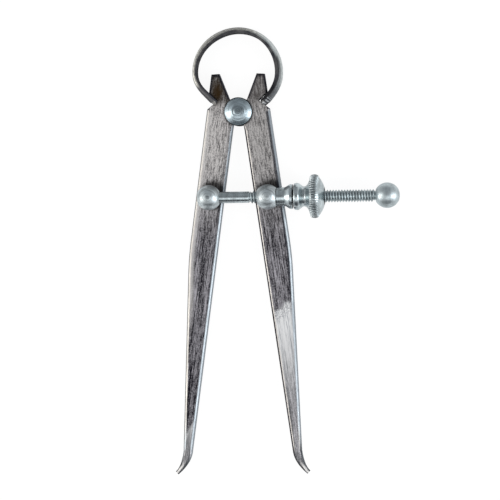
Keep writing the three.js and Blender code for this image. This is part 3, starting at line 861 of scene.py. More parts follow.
# %% Knurl as copies of one tooth
KNURL_TEETH, KNURL_START, KNURL_END, KNURL_SHADE = 52, 12.0, 14.45, 13.7
TOOTH_HEIGHT, TOOTH_WIDTH, TOOTH_SUNK, TOOTH_STEPS = 0.36, 0.42, 0.08, 14
TOOTH_CROWN, TOOTH_LEAN, CREST_SHARE = 0.455, 0.125, 0.2
# painted shade across the back part of the knurl
tooth_plate = plated("tooth_plate", RIGHT_AXIS, True, base=(0.82, 0.89, 0.91), ring_depth=0.01,
                     ring_tint=0.2, smooth=0.40, rough=0.50, shade_rings=[(KNURL_SHADE, 0.5, 0.35)])
knurl_sizes = {
    "Teeth": KNURL_TEETH, "Rim Radius": (NUT_RIM - TOOTH_SUNK) * MM,
    "Length": (KNURL_END - KNURL_START) * MM, "Tooth Height": TOOTH_HEIGHT * MM,
    "Tooth Width": TOOTH_WIDTH * MM, "Crown": TOOTH_CROWN * MM, "Lean": TOOTH_LEAN * MM}
knurl, size = node_tree("knurl", knurl_sizes)
line = knurl.add("GeometryNodeMeshLine", {"mode": "OFFSET"}, {
    "Count": TOOTH_STEPS + 1, "Offset": knurl.point(z=size["Length"] / float(TOOTH_STEPS))})["Mesh"]
path = knurl.add("GeometryNodeMeshToCurve", {}, {"Mesh": line})["Curve"]
from_middle = knurl.add("GeometryNodeSplineParameter")["Factor"] * 2.0 - 1.0
sag = from_middle * from_middle * (from_middle * size["Lean"] + size["Crown"])
path = knurl.add("GeometryNodeSetPosition", {}, {
    "Geometry": path, "Offset": knurl.point(y=sag)})["Geometry"]
taper_off = from_middle.absolute().fade(0.6, 1.0, 1.0, 0.3)
bar = trapezoid(knurl, size["Tooth Width"], size["Tooth Width"] * CREST_SHARE, size["Tooth Height"])
spots = knurl.add("GeometryNodeMeshCircle", {}, {
    "Vertices": size["Teeth"], "Radius": size["Rim Radius"]})["Mesh"]
step = knurl.add("GeometryNodeInputIndex")["Index"] * math.tau / size["Teeth"]
copies = knurl.add("GeometryNodeInstanceOnPoints", {}, {
    "Points": spots, "Instance": sweep(knurl, path, bar, taper_off),
    "Rotation": knurl.point(z=step + math.pi / 2)})["Instances"]
end_tree(knurl, copies, size["Material"])
teeth = grow("knurl_teeth", knurl, knurl_sizes, tooth_plate)
reach = max(math.hypot(point.co.x, point.co.y) for point in teeth.data.vertices) / MM
print(f"teeth reach {reach:.3f} mm")
where = Matrix.Translation((RIGHT_AXIS + Vector((KNURL_START, 0, 0))) * MM)
teeth.data.transform(where @ lay_along_x)
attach(teeth, "nut")
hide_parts("knurled_nut")
print("faces of the knurl:", len(teeth.data.polygons))

# %% [markdown]
# ## Bow spring
# The bow spring is a strip bent into an open ring. Its outer face is crowned and ground bright,
# its inner face still has the dark scale of the hardening, a dark that is partly painted shade.
# When the legs swing, the real spring's ends follow them while its top stays. It is made as two
# halves that meet at the top. The real ring is a little out of round, so what differs between its
# sides is kept by side: -1 is left, 1 is right.

# %% The ring's shape
SIDES = ((-1, "left"), (1, "right"))
RING_HEIGHT, RING_RADIUS, SPRING_WIDTH = 11.06, 11.7, 4.8
SPRING_THICKNESS, SPRING_END_THICKNESS = 1.75, {-1: 1.70, 1: 2.20}
# Each side has its own bulge outwards, its own change of thickness there, and its own tuck.
BULGE, THICKER, END_TUCK = {-1: 0.55, 1: -0.16}, {-1: -0.40, 1: 0.32}, {-1: 0.98, 1: 0.50}
BULGE_FOLD, BULGE_ABOVE, BULGE_BELOW = math.radians(-3), math.radians(70), math.radians(50)
TUCK_START, TUCK_END = math.radians(5), math.radians(42)
END_ANGLE = {-1: math.radians(55), 1: math.radians(52.5)}


def ease(share):
    share = min(1.0, max(0.0, share))
    return share * share * (3 - 2 * share)


def bulge(fold):
    """How much of the bulge a place has: all at its middle, none at its two ends."""
    reach = BULGE_BELOW if fold > BULGE_FOLD else BULGE_ABOVE
    return ease(1 - abs(fold - BULGE_FOLD) / reach)


def spring_place(fold, outwards, z, side):
    """A point of the strip; fold is the angle below the ring's level middle line."""
    tuck = END_TUCK[side] * ease((fold - TUCK_START) / (TUCK_END - TUCK_START))
    radius = RING_RADIUS + BULGE[side] * bulge(fold) - tuck + outwards
    return Vector((side * radius * math.cos(fold), RING_HEIGHT - radius * math.sin(fold),
                   LEG_MIDDLE + z))


print(f"ring of {2 * RING_RADIUS:.1f} mm, out of round by up to {max(BULGE.values()):.2f} mm")

# %% One half of the spring
EDGE_ROUND, EDGE_STEPS, CROWN_STEPS, HALF_STEPS = 0.22, 4, 18, 96
TIP_LENGTH, TIP_BLUNTNESS, TIP_SHARES = 0.6, 0.3, (0.35, 0.65, 0.85, 0.96, 1.0)
PRONG_LENGTH, SLOT_CLEARANCE, SLOT_ROUND = 1.5, 0.25, 0.5
SLOT_LENGTH, SLOT_HALF_DEPTH = 3.0, 2.0


def spring_section(thickness):
    """Round the strip: a flat inner face, small rounded corners and a crowned outer face."""
    edge = EDGE_ROUND * min(1.0, thickness / SPRING_THICKNESS)
    half, inner = SPRING_WIDTH / 2, -thickness / 2
    corner_turns = [math.pi / 2 * step / EDGE_STEPS for step in range(EDGE_STEPS + 1)]
    crown_turns = [math.pi / 2 * step / CROWN_STEPS for step in range(1, CROWN_STEPS + 1)]
    section = [(inner + edge * (1 - math.cos(turn)), half - edge * (1 - math.sin(turn)))
               for turn in corner_turns]
    section += [(thickness / 2 * math.sin(turn), half * math.cos(turn)) for turn in crown_turns]
    return section + [(out, -z) for out, z in section[-2::-1]]


def cut_fork(half, side, finish):
    """Cut the slot out of the tip, so that it straddles the leg."""
    fold = END_ANGLE[side] - PRONG_LENGTH / (RING_RADIUS - END_TUCK[side])
    turn = math.atan2(-math.cos(fold), -side * math.sin(fold))
    half_width = LEG_THICKNESS / 2 + SLOT_CLEARANCE
    corners = rounded([
        (0, -half_width, SLOT_ROUND), (0, half_width, SLOT_ROUND),
        (SLOT_LENGTH, half_width), (SLOT_LENGTH, -half_width)], closed=True)
    points = [(run, depth, z) for depth in (-SLOT_HALF_DEPTH, SLOT_HALF_DEPTH) for run, z in corners]
    count = len(corners)
    faces = [tuple(range(count)), tuple(range(count, 2 * count))] + skin(count, 2)
    slot = make_piece("slot", points, faces, finish)
    root = Matrix.Translation(spring_place(fold, 0, 0, side) * MM)
    slot.data.transform(root @ Matrix.Rotation(turn, 4, "Z"))
    cut(half, slot)


def spring_half(name, side, finish):
    """Sweep the section down one side of the ring, and round its tip off."""
    end_angle, end_thickness = END_ANGLE[side], SPRING_END_THICKNESS[side]
    tip_turn = TIP_LENGTH / (RING_RADIUS - END_TUCK[side])
    folds = [-math.pi / 2 + (end_angle + math.pi / 2 - tip_turn) * step / HALF_STEPS
             for step in range(HALF_STEPS + 1)]
    growth = (end_thickness - SPRING_THICKNESS) / end_angle
    stations = [(fold, SPRING_THICKNESS + growth * max(0.0, fold) + THICKER[side] * bulge(fold))
                for fold in folds]
    for share in TIP_SHARES:
        roundness = TIP_BLUNTNESS + (1 - TIP_BLUNTNESS) * math.sqrt(1 - share ** 2)
        stations.append((folds[-1] + tip_turn * share, end_thickness * roundness))
    points, thick, down = [], [], []
    for fold, thickness in stations:
        section = spring_section(thickness)
        for out, z in section:
            points.append(spring_place(fold, out, z, side))
            thick.append(out / thickness + 0.5)
            down.append(fold / end_angle)
    count = len(section)
    ends = [tuple(range(count)), tuple(range(len(points) - count, len(points)))]
    faces = skin(count, len(stations)) + ends
    half = make_piece(name, points, faces, finish, {"thick": thick, "down": down})
    cut_fork(half, side, finish)
    return half


print(f"the section has {len(spring_section(SPRING_THICKNESS))} points")

# %% [markdown]
# ## Ground and hardened spring steel
# The outer face was ground after hardening and is bright and streaked, and the inner one is
# still black with scale, a dark that is partly painted shade of that side. The border between them
# isn't straight. The strip's marks say how far a point is through its thickness and how far down
# its side, so each patch is laid over the last with a mask made from them: painted highlights on
# the east side and at the tips, painted shade low on the inner side, and dull and filed patches.
# Only the ground steel is metallic, and the scale has no shine of its own.

# %% Spring finish
GROUND_DARK, GROUND_PALE = (0.36, 0.355, 0.33), (0.76, 0.75, 0.70)
SCALE_AND_SHADE_DARK, SCALE_AND_SHADE_PALE, LOW_INNER_SHADE = (0.040, 0.041, 0.048), (0.105, 0.103, 0.105), (0.010, 0.010, 0.013)
EAST_HIGHLIGHT, EAST_DARK = (0.60, 0.67, 0.69), (0.05, 0.05, 0.053)
TOP_DULL, LOWER_RIM, UPPER_RIM = (0.12, 0.12, 0.12), (0.115, 0.12, 0.13), (0.16, 0.16, 0.16)
WEST_FLANK, TIP_HIGHLIGHT = (0.075, 0.075, 0.085), (0.62, 0.60, 0.56)
FILED_DARK, FILED_PALE = (0.035, 0.036, 0.042), (0.62, 0.64, 0.66)
SCALE_BUMP = 0.012


def spring_finish():
    """East and west are the sides with positive and negative X, in millimetres here."""
    finish = Finish("spring_steel")
    thick, down = finish.attribute("thick"), finish.attribute("down")
    x = finish.parts(finish.place)[0] / MM
    streaks = finish.noise(finish.point(down * 7.0, thick * 5.0, x * 0.03), 2.0, detail=4.0)
    clouds = finish.noise(finish.place, 420.0, detail=4.0)
    uneven = clouds - 0.5

    # the ground outer face, with a painted highlight down its east side
    bright = finish.mix(streaks.fade(0.35, 0.65), GROUND_DARK, GROUND_PALE)
    bright = finish.mix(x.fade(3.0, 9.0) * 0.6, bright, EAST_HIGHLIGHT)
    east = (down + uneven * 0.8).fade(-0.60, -0.20) * thick.fade(0.92, 0.66) * x.fade(0.0, 2.0)
    bright = finish.mix(east * 0.9, bright, EAST_DARK)
    top = down.absolute().fade(1.15, 1.6) * x.absolute().fade(7.0, 3.0)
    bright = finish.mix(top * 0.2, bright, TOP_DULL)
    lower_rim = down.fade(0.15, 0.55) * thick.fade(0.55, 0.80)
    bright = finish.mix(lower_rim * 0.85, bright, LOWER_RIM)

    # the scale inside, its dark partly painted shade, with more painted shade low on the inner side,
    # and the border between the two
    scale = finish.mix(clouds.fade(0.3, 0.7), SCALE_AND_SHADE_DARK, SCALE_AND_SHADE_PALE)
    low_inner_shade = down.fade(0.10, 0.45) * thick.fade(0.62, 0.36)
    scale = finish.mix(low_inner_shade * 0.8, scale, LOW_INNER_SHADE)
    border = thick + uneven * 0.2 + x.absolute().fade(2.0, 7.5) * 0.05 + x.fade(-2.0, -8.0) * 0.18
    ground = border.fade(0.46, 0.58)
    face = finish.mix(ground, scale, bright)

    # dull flanks and rims, a painted highlight on the tips, and the marks a file has left by them
    west_flank = (down + uneven * 0.2).fade(0.28, 0.44) * x.fade(0.0, -2.0)
    face = finish.mix(west_flank * 0.85, face, WEST_FLANK)
    upper_rim = thick.fade(0.64, 0.84) * x.fade(7.0, 1.0) * down.fade(-0.2, -1.0)
    face = finish.mix(upper_rim * 0.7, face, UPPER_RIM)
    tip_highlight = down.fade(0.84, 0.95) * thick.fade(0.2, 0.4)
    face = finish.mix(tip_highlight * streaks.fade(0.4, 0.6) * 0.7, face, TIP_HIGHLIGHT)
    hatch = finish.noise(finish.point(down * 24.0, thick * 1.2), 1.0).fade(0.46, 0.56)
    filed = down.fade(0.72, 0.80) * x.fade(0.0, 2.0) * thick.fade(0.34, 0.46)
    face = finish.mix(filed * 0.7, face, finish.mix(hatch, FILED_DARK, FILED_PALE))

    shiny = (1.0 - lower_rim * 0.7) * (1.0 - upper_rim * 0.7) * (1.0 - west_flank * 0.8)
    finish.set("Base Color", face)
    finish.set("Metallic", ground * shiny)
    finish.set("Specular IOR Level", 0.0)
    finish.set("Roughness", ground * -0.12 + clouds.fade(0.3, 0.7, 0.36, 0.50))
    finish.bump(clouds + streaks * 0.5, SCALE_BUMP * MM)
    return finish


spring_steel = spring_finish()
print("nodes in the spring's finish:", len(spring_steel.tree.nodes))

# %% Both halves
for side, label in SIDES:
    half = spring_half(f"bow_spring_{label}", side, spring_steel)
    notch = spring_place(END_ANGLE[side] - PRONG_LENGTH / RING_RADIUS, 0, 0, side) * MM
    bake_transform(half)
    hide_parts("bow_spring")
print("spring half faces:", len(half.data.polygons))

# %% [markdown]
# ## Legs
# A leg is a flat blank with rounded edges: wide at the pivot, tapered below the stud, with a toe
# that turns out, and at the top a notch for the spring and a horn that keeps the spring on. It is
# drawn as one closed outline. Each point of the outline says how far the edge is rounded there,
# and the rounding is made by stepping rings inwards and upwards, so the rounding can change from
# broad on the long edges to almost sharp in the notch, which a bevel modifier can't do.

# %% Leg outline: runs of (out, along, edge rounding)
LEG_LENGTH, TAPER_START, TAPER_BLEND = 102.6, 42.0, 9.0
TOE_BEND, TOE_ROOT, TOE_TIP, TOE_OUTSET = 6.4, 2.57, 1.14, 4.48
TOE_TURN, TOE_THICKNESS, TOE_STEPS = math.radians(42), 2.0, 28
HORN_HEIGHT, HORN_TIP, HORN_RISE, HORN_ROOT = 9.37, 2.17, 0.44, 0.5
NOTCH_DEPTH, NOTCH_UP = 2.74, 2.25
NOTCH_UPPER, NOTCH_LOWER = math.radians(36), math.radians(45)
BEARING, BEARING_STEPS, BEARING_EASE = CORE_RADIUS + 0.3, 24, 6.0
BROAD, TOE_ROUND, HORN_ROUND, HORN_TIP_ROUND, TIP_ROUND, CUT_ROUND = 0.9, 0.5, 0.34, 0.2, 0.15, 0.1
UPPER_STEPS, BLEND_STEPS, TAPER_STEPS, INNER_STEPS = 12, 12, 20, 30
BEND_START = LEG_LENGTH - TOE_BEND


def between(start, end, shares, first, last=None, reach=1.0):
    """Points on a straight line; the rounding eases from first to last over a share of it."""
    last = first if last is None else last
    return [(start[0] + (end[0] - start[0]) * s, start[1] + (end[1] - start[1]) * s,
             first + (last - first) * ease(s / reach)) for s in shares]


def taper(along):
    """How far the outer edge has drawn in, before the slope is known; the start is blended."""
    past, half = along - TAPER_START, TAPER_BLEND / 2
    if past <= -half:
        return 0
    return (past + half) ** 2 / (4 * half) if past < half else past


TAPER_SLOPE = (LEG_WIDTH - TOE_ROOT) / taper(BEND_START)


def toe_edge(start_out, way):
    """One edge of the toe: a smooth bend from the straight leg to the tip."""
    heading = Vector((math.sin(TOE_TURN), math.cos(TOE_TURN)))
    across = Vector((math.cos(TOE_TURN), -math.sin(TOE_TURN)))
    end = Vector((TOE_OUTSET, LEG_LENGTH)) + across * way * TOE_TIP / 2
    corner = end - heading * (end.x - start_out) / heading.x
    bent = bend((start_out, BEND_START), corner, end, TOE_STEPS)
    return [(*point, BROAD + (TOE_ROUND - BROAD) * step / TOE_STEPS)
            for step, point in enumerate(bent)]


def leg_runs():
    """From the horn's outer corner down the outside, round the toe and up the inside."""
    horn_corner, horn_tip = (LEG_OUTER, -HORN_HEIGHT), (LEG_OUTER - HORN_TIP, -HORN_HEIGHT - HORN_RISE)
    notch_bottom = (LEG_OUTER - NOTCH_DEPTH, -NOTCH_UP)
    upper = (LEG_OUTER, -NOTCH_UP - NOTCH_DEPTH * math.tan(NOTCH_UPPER))
    lower = (LEG_OUTER, -NOTCH_UP + NOTCH_DEPTH * math.tan(NOTCH_LOWER))
    runs = [between(horn_corner, upper, (0, 0.2, 0.5, 0.8, 1), HORN_ROUND),
            between(upper, notch_bottom, (0, 0.3, 0.6, 0.92, 1), CUT_ROUND),
            between(notch_bottom, lower, (0, 0.08, 0.3, 0.6, 1), CUT_ROUND)]

    blend_start, blend_end = TAPER_START - TAPER_BLEND / 2, TAPER_START + TAPER_BLEND / 2
    alongs = [lower[1] + (blend_start - lower[1]) * s / UPPER_STEPS for s in range(UPPER_STEPS)]
    alongs += [blend_start + TAPER_BLEND * s / BLEND_STEPS for s in range(BLEND_STEPS + 1)]
    alongs += [blend_end + (BEND_START - blend_end) * s / TAPER_STEPS for s in range(1, TAPER_STEPS)]
    outer = [(LEG_OUTER - TAPER_SLOPE * taper(along), along, BROAD) for along in alongs]
    outer_toe, inner_toe = toe_edge(LEG_INNER + TOE_ROOT, 1), toe_edge(LEG_INNER, -1)
    runs.append(outer + outer_toe)
    runs.append(between(outer_toe[-1], inner_toe[-1], (0, 0.5, 1), TIP_ROUND))

    bearing_along = math.sqrt(BEARING ** 2 - LEG_INNER ** 2)
    inner = between((LEG_INNER, BEND_START), (LEG_INNER, BEARING_EASE),
                    [s / INNER_STEPS for s in range(1, INNER_STEPS + 1)], BROAD)
    shortened = between((LEG_INNER, BEARING_EASE), (LEG_INNER, bearing_along), (0.25, 0.5, 0.75, 1),
                        BROAD, CUT_ROUND)
    runs.append(inner_toe[::-1] + inner + shortened)

    root = Vector((LEG_INNER, HORN_ROOT))
    way = (Vector(horn_tip) - root).normalized()
    middle = root.dot(way)
    meet = root + way * (math.sqrt(middle ** 2 - root.length_squared + BEARING ** 2) - middle)
    start, end = math.atan2(bearing_along, LEG_INNER), math.atan2(meet.y, meet.x)
    turns = [start + (end - start) * s / BEARING_STEPS for s in range(BEARING_STEPS + 1)]
    runs.append([(BEARING * math.cos(a), BEARING * math.sin(a), CUT_ROUND) for a in turns])
    runs.append(between(meet, horn_tip, (0, 0.15, 0.3, 0.6, 1), CUT_ROUND, HORN_ROUND, 0.3))
    runs.append(between(horn_tip, horn_corner, (0, 0.5, 1), HORN_TIP_ROUND))
    return runs


# each point of the outline keeps the rounding of the edge before it and of the edge after it
runs = leg_runs()
outline = []
for index, run in enumerate(runs):
    out, along, rounding = run[0]
    outline.append((Vector((out, along)), runs[index - 1][-1][2], rounding))
    outline += [(Vector((o, a)), r, r) for o, a, r in run[1:-1]]
print("outline points:", len(outline))

# %% Leg mesh: rings that step inwards
ROUND_STEPS, HOLE_STEPS, HOLE_RADIUS = 9, 64, SHANK_RADIUS + 0.25
# One more ring just past the rounding keeps its shading off the flat face. The rounding takes
# nearly all of half the thickness at most, and edges that turn less than the last count as one.
SUPPORT, FULLEST, NEARLY_STRAIGHT = 1.06, 0.97, 0.05


def inward(outline):
    """For each point, the way in that its rounding before and after it asks for."""
    area = sum(a[0].cross(b[0]) for a, b in zip(outline, outline[1:] + outline[:1]))
    turn = 1 if area > 0 else -1
    offsets = []
    for index, (here, before, after) in enumerate(outline):
        into = (here - outline[index - 1][0]).normalized()
        away = (outline[(index + 1) % len(outline)][0] - here).normalized()
        normal_in, normal_out = (Vector((-way.y, way.x)) * turn for way in (into, away))
        cross = normal_in.cross(normal_out)
        if abs(cross) < NEARLY_STRAIGHT:
            offsets.append((normal_in + normal_out).normalized() * (before + after) / 2)
        else:
            offsets.append(Vector((before * normal_out.y - after * normal_in.y,
                                   after * normal_in.x - before * normal_out.x)) / cross)
    return offsets


def leg_mesh(name, side, finish):
    offsets = inward(outline)
    lean = Matrix.Rotation(side * LEG_LEAN, 3, "Z")
    turns = [math.pi / 2 * (1 - step / ROUND_STEPS) for step in range(ROUND_STEPS + 1)]
    levels = [(SUPPORT, 1.0)] + [(1 - math.cos(turn), math.sin(turn)) for turn in turns]
    points, rolls, acrosses, alongs = [], [], [], []

    def put(flat, z, roll):
        points.append(lean @ Vector((side * flat.x, -flat.y, 0)) + Vector((0, 0, LEG_MIDDLE + z)))
        rolls.append(roll)
        acrosses.append(flat.x)
        alongs.append(flat.y)

    for sign in (-1, 1):
        for inset, rise in (levels if sign < 0 else levels[::-1]):
            roll = 0.0 if inset >= 1 else 1 - 2 * math.asin(rise) / math.pi
            for (here, before, after), offset in zip(outline, offsets):
                share = min(1.0, max(0.0, (here.y - BEND_START) / TOE_BEND))
                half = (LEG_THICKNESS + (TOE_THICKNESS - LEG_THICKNESS) * share) / 2
                size = min(max(before, after), half * FULLEST)
                put(here + offset * inset, sign * (half - size * (1 - rise)), roll)
    count, rings, hole_start = len(outline), 2 * len(levels), len(points)
    middle = Vector((STUD_OUT, STUD_ALONG))
    for sign in (-1, 1):
        for step in range(HOLE_STEPS):
            turn = math.tau * step / HOLE_STEPS
            rim = middle + Vector((math.cos(turn), math.sin(turn))) * HOLE_RADIUS
            put(rim, sign * LEG_THICKNESS / 2, 0.0)
    faces = skin(count, rings) + skin(HOLE_STEPS, 2, hole_start)

    # the two flat faces, each between its outline and the rim of the hole
    for first, rim_start in ((0, hole_start), ((rings - 1) * count, hole_start + HOLE_STEPS)):
        loop, rim = range(first, first + count), range(rim_start, rim_start + HOLE_STEPS)
        flat_loops = [[Vector((acrosses[i], alongs[i], 0)) for i in ids] for ids in (loop, rim)]
        ids = [*loop, *rim]
        faces += [tuple(ids[i] for i in triangle) for triangle in tessellate_polygon(flat_loops)]
    marks = {"roll": rolls, "across": acrosses, "along": alongs}
    return make_piece(name, points, faces, finish, marks)


print(f"leg {LEG_LENGTH:.1f} mm long from the pivot, {LEG_WIDTH:.2f} mm wide")

# %% [markdown]
# ## Worn leg steel
# The legs are old steel: brushed lengthways, tarnished dark, rubbed pale in one patch each and
# worn bright along the edges, a brightness that is also a painted highlight. Painted light is laid
# on too: a painted shadow round the spool's head and the studs, a painted shade band beside one
# edge, a painted glint, painted dark reflections on the side walls, and painted shade and a painted
# highlight on the toe. Noise that is stretched along the leg gives hairs, lines and bands at any
# size, where a picture would blur close up. The mesh's marks say how far a point is across and
# along the leg, and how far it has rolled over the edge, so each layer is laid over the last in
# the place where the real leg shows it. The two legs share all but a few numbers.

# %% Leg finish
# What differs between the left leg, -1, and the right one, 1. A rubbed patch has a border that
# slants and is ragged by the blots and the pits, and fades along the leg.
SEED = {-1: 11.3, 1: 3.7}
RUB_SLANT, RUB_RAGGED = {-1: -2.2, 1: 0.45}, {-1: (4.0, 0.0), 1: (5.0, 5.0)}
RUB_BORDER = {-1: (83.0, 85.4), 1: (57.2, 58.2)}
RUB_FADING = {-1: (88.0, 97.0, 0.65, 0.25), 1: (58.0, 88.0, 1.0, 0.22)}
TOE_DARKENING, HORN_TONE, SHADE_SHARE = {-1: 0.35, 1: 0.0}, {-1: 0.28, 1: 0.42}, {-1: 0.4, 1: 0.8}
PALE_RANGE = {-1: (0.12, 0.93), 1: (0.08, 0.74)}
HORN_TINT = {-1: (0.05, 0.042, 0.035), 1: (0.14, 0.128, 0.125)}
WEST_EDGE = {-1: (0.64, 0.62, 0.59), 1: (0.66, 0.635, 0.61)}
WEST_WALL = {-1: (0.20, 0.20, 0.20), 1: (0.02, 0.02, 0.025)}
# Fades along the leg: from and to in millimetres from the pivot, then the values there
LOWER_LEG, PALE_TOP = (20.0, 44.0), (11.0, 40.0, 1.0, 0.0)
TARNISHED, TOE_WARD, EDGE_CHANGE = (56.0, 66.0), (66.0, 84.0), (18.0, 30.0)
STRAIGHT_START, STRAIGHT_END = (0.6, 1.4), (94.0, 97.0, 1.0, 0.0)
SHADE_FADING, GLINT_FADING = (44.0, 58.0, 1.0, 0.1), (52.0, 66.0, 1.0, 0.0)
# Tints; those of the contact shadow, the shade, the glint, the walls and the toe are painted light,
# and the edge tints are wear with a painted highlight
FACE_DARK, FACE_LIGHT, FLECK = (0.012, 0.011, 0.017), (0.66, 0.635, 0.68), (0.62, 0.63, 0.67)
PALE_LOW, PALE_HIGH = (1.0, 0.95, 0.97), (1.0, 0.96, 0.94)
RUBBED_DARK, RUBBED_LIGHT, SPECKLE = (0.36, 0.38, 0.42), (1.0, 1.0, 1.0), (0.28, 0.29, 0.32)
NOTCH_PATCH_BROWN, HORN_EDGE, CONTACT_SHADOW = (0.05, 0.028, 0.010), (0.012, 0.012, 0.018), (0.018, 0.016, 0.014)
SHADE, GLINT, CUT_WALL = (0.03, 0.035, 0.05), (0.95, 0.92, 0.90), (0.03, 0.03, 0.042)
EAST_UPPER, EAST_LOWER, EAST_WALL = (0.27, 0.30, 0.33), (0.56, 0.61, 0.65), (0.33, 0.36, 0.39)
TOE_SIDE_SHADE, TOE_HIGHLIGHT = (0.05, 0.056, 0.062), (1.0, 0.98, 0.95)
# Places and sizes of single patches, in millimetres
NOTCH_PATCH_ACROSS, NOTCH_PATCH_ALONG, HORN_FOOT, TOE_SWING = 6.5, -4.6, -2.6, 2.3
SPOOL_SHADOW_REACH, STUD_SHADOW_REACH, STUD_SHADOW_SHIFT = (3.8, 4.5), (3.2, 5.0), 0.8
HAIR_BUMP = 0.010


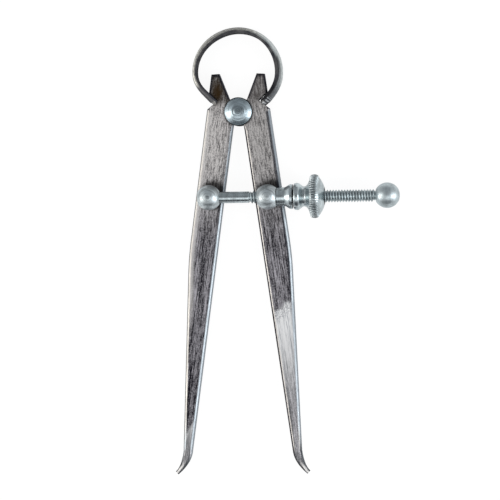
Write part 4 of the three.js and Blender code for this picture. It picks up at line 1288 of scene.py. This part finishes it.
def leg_finish(name, side):
    """Lengths are in millimetres: across from the middle line, along from the pivot."""
    finish = Finish(name)
    roll, across, along = (finish.attribute(mark) for mark in ("roll", "across", "along"))

    def pattern(per_across, per_along, detail, shift):
        """Noise stretched along the leg, from lengths per millimetre."""
        place = finish.point(across * per_across, along * per_along, SEED[side] + shift)
        return finish.noise(place, 1.0, detail=detail)

    hairs = pattern(3.5, 0.40, 2.0, 0)
    pits = pattern(3.6, 2.4, 2.0, 3)
    lines = pattern(3.1, 0.05, 2.0, 7)
    bands = pattern(0.8, 0.05, 3.0, 5)
    blots = pattern(1.1, 0.5, 4.0, 9)
    lower = along.fade(*LOWER_LEG)
    upper_tone = (hairs - 0.5) * 4.2 + (pits - 0.5) * 3.0
    lower_tone = (hairs - 0.5) * 3.0 + (lines - 0.5) * 4.2 + (pits - 0.5) * 2.4 + (blots - 0.5) * 0.8
    tone = upper_tone * (1.0 - lower) + lower_tone * lower + (bands - 0.5) * 1.2 + 0.5

    # the flat face: pale at the top, tarnished below, with flecks
    deeper = along.fade(*TARNISHED) * 0.15 + along.fade(*TOE_WARD) * TOE_DARKENING[side]
    dark_face = finish.mix((tone - deeper).fade(-0.5, 2.0), FACE_DARK, FACE_LIGHT)
    weakest, strongest = PALE_RANGE[side]
    pale_face = finish.mix(tone.fade(-0.7, 1.3), darker(PALE_LOW, weakest), darker(PALE_HIGH, strongest))
    face = finish.mix(along.fade(*PALE_TOP), dark_face, pale_face)
    flecks = pits.fade(0.58, 0.66) * blots.fade(0.46, 0.60)
    face = finish.mix(flecks * lower * 0.5, face, FLECK)

    # the rubbed patch, with a ragged border
    by_blots, by_pits = RUB_RAGGED[side]
    border = along + across * RUB_SLANT[side] - (blots - 0.5) * by_blots - (pits - 0.5) * by_pits
    rubbed = border.fade(*RUB_BORDER[side]) * along.fade(*RUB_FADING[side])
    grain = (lines - 0.5) * 3.0 + (hairs - 0.5) * 1.8 + 0.5
    face = finish.mix(rubbed, face, finish.mix(grain.fade(-0.7, 0.9), RUBBED_DARK, RUBBED_LIGHT))
    if side > 0:
        speckle = border.fade(*RUB_BORDER[side]) * border.fade(63.0, 58.5) * pits.fade(0.50, 0.40)
        face = finish.mix(speckle * 0.7, face, SPECKLE)

    # the horn is darker, more so at its edges, and the left one has a dark brown patch beside the notch
    horn = (along - (across - LEG_INNER) * 0.2).fade(-1.0, -4.0)
    way = Vector((LEG_OUTER - HORN_TIP - LEG_INNER, -HORN_HEIGHT - HORN_RISE - HORN_ROOT)).normalized()
    to_inner = (across - LEG_INNER) * -way.y + (along - HORN_ROOT) * way.x
    to_edge = to_inner.smallest(LEG_OUTER - across).smallest(along + HORN_HEIGHT)
    rim = to_edge.fade(1.0, 0.2) * (along - HORN_FOOT).fade(0.0, -1.0)
    face = finish.mix(horn * (1.0 - tone * HORN_TONE[side]), face, HORN_TINT[side])
    if side < 0:
        place = finish.point(across - NOTCH_PATCH_ACROSS, (along - NOTCH_PATCH_ALONG) * 0.55)
        notch_patch = finish.length(place) + (blots - 0.5) * 1.2
        face = finish.mix(notch_patch.fade(2.8, 0.2) * 0.95, face, NOTCH_PATCH_BROWN)
    face = finish.mix(rim * 0.85, face, HORN_EDGE)

    # painted shadow round the spool's head and round the stud, a little off to one side of the stud
    def shadow_round(out, place, start, end):
        distance = finish.length(finish.point(across - out, along - place)) + (blots - 0.5) * 0.8
        return distance.fade(end, start)

    stud_shadow = shadow_round(STUD_OUT + side, STUD_ALONG - STUD_SHADOW_SHIFT, *STUD_SHADOW_REACH)
    contact_shade = shadow_round(0.0, 0.0, *SPOOL_SHADOW_REACH).largest(stud_shadow)
    face = finish.mix(contact_shade * 0.85, face, CONTACT_SHADOW)

    # painted shade in a band beside the east edge, and on the left leg a painted highlight beside the
    # outer edge; then the rounded edges, worn and also painted with their highlight, dimmer on the
    # east side of the upper leg
    inner_gap = across - LEG_INNER
    outer_gap = (LEG_OUTER - across) - (along - TAPER_START).largest(0.0) * TAPER_SLOPE
    east_gap = outer_gap if side > 0 else inner_gap
    straight = along.fade(*STRAIGHT_START) * along.fade(*STRAIGHT_END)
    shade = east_gap.fade(1.4, 1.05) * straight * along.fade(*SHADE_FADING)
    face = finish.mix(shade * SHADE_SHARE[side], face, SHADE)
    if side < 0:
        glint = outer_gap.fade(2.1, 1.0) * straight * along.fade(*GLINT_FADING)
        face = finish.mix(glint * 0.6, face, GLINT)
    to_west = across.fade(3.0, 4.0, 1.0, 0.0) if side > 0 else across.fade(3.0, 4.0)
    east_tint = finish.mix(along.fade(*EDGE_CHANGE), EAST_UPPER, EAST_LOWER)
    rolled = (roll - along.fade(*EDGE_CHANGE, 0.12, 0.0) * (1.0 - to_west)).fade(0.10, 0.18)
    face = finish.mix(rolled * straight, face, finish.mix(to_west, east_tint, WEST_EDGE[side]))
    # the side walls are painted dark, a painted reflection of dark surroundings
    wall = roll.fade(0.44, 0.54).largest(roll.fade(0.28, 0.38) * to_west if side > 0 else 0.0)
    face = finish.mix(wall, face, finish.mix(to_west, EAST_WALL, WEST_WALL[side]))
    # the cut edges at the top are painted dark too, as painted shade
    cut_wall = roll.fade(0.04, 0.2) * along.fade(0.8, 0.4)
    face = finish.mix(cut_wall, face, CUT_WALL)

    # the bent toe: painted shade to both sides, and a painted highlight along its middle
    toe = (along - BEND_START).largest(0.0) / TOE_BEND
    off_middle = (across - toe * toe * TOE_SWING - (LEG_INNER + TOE_ROOT / 2)).absolute()
    face = finish.mix(toe.fade(0.1, 0.6) * off_middle.fade(0.25, 0.6) * 0.85, face, TOE_SIDE_SHADE)
    face = finish.mix(toe.fade(0.4, 0.8) * off_middle.fade(0.4, 0.15), face, TOE_HIGHLIGHT)
    finish.set("Base Color", face)
    finish.set("Roughness", tone.fade(0.0, 1.0, 0.56, 0.44) + rubbed * 0.14)
    finish.bump(hairs + pits * 0.5 + bands * 0.3, HAIR_BUMP * MM)
    return finish


for side, label in SIDES:
    leg = leg_mesh(f"{label}_leg_blank", side, leg_finish(f"{label}_leg_steel", side))
    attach(leg, f"{label}_arm")
    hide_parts(f"{label}_leg")
print("leg faces:", len(leg.data.polygons))

# %% [markdown]
# ## Sizes at the end
# The dressed tool should keep the size of the frame, so both boxes are printed.

# %% Print both boxes
dressed_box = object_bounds()
for label, box in (("cad", cad_box), ("visual", dressed_box)):
    print(label, [round(part / MM, 2) for corner in box for part in corner])
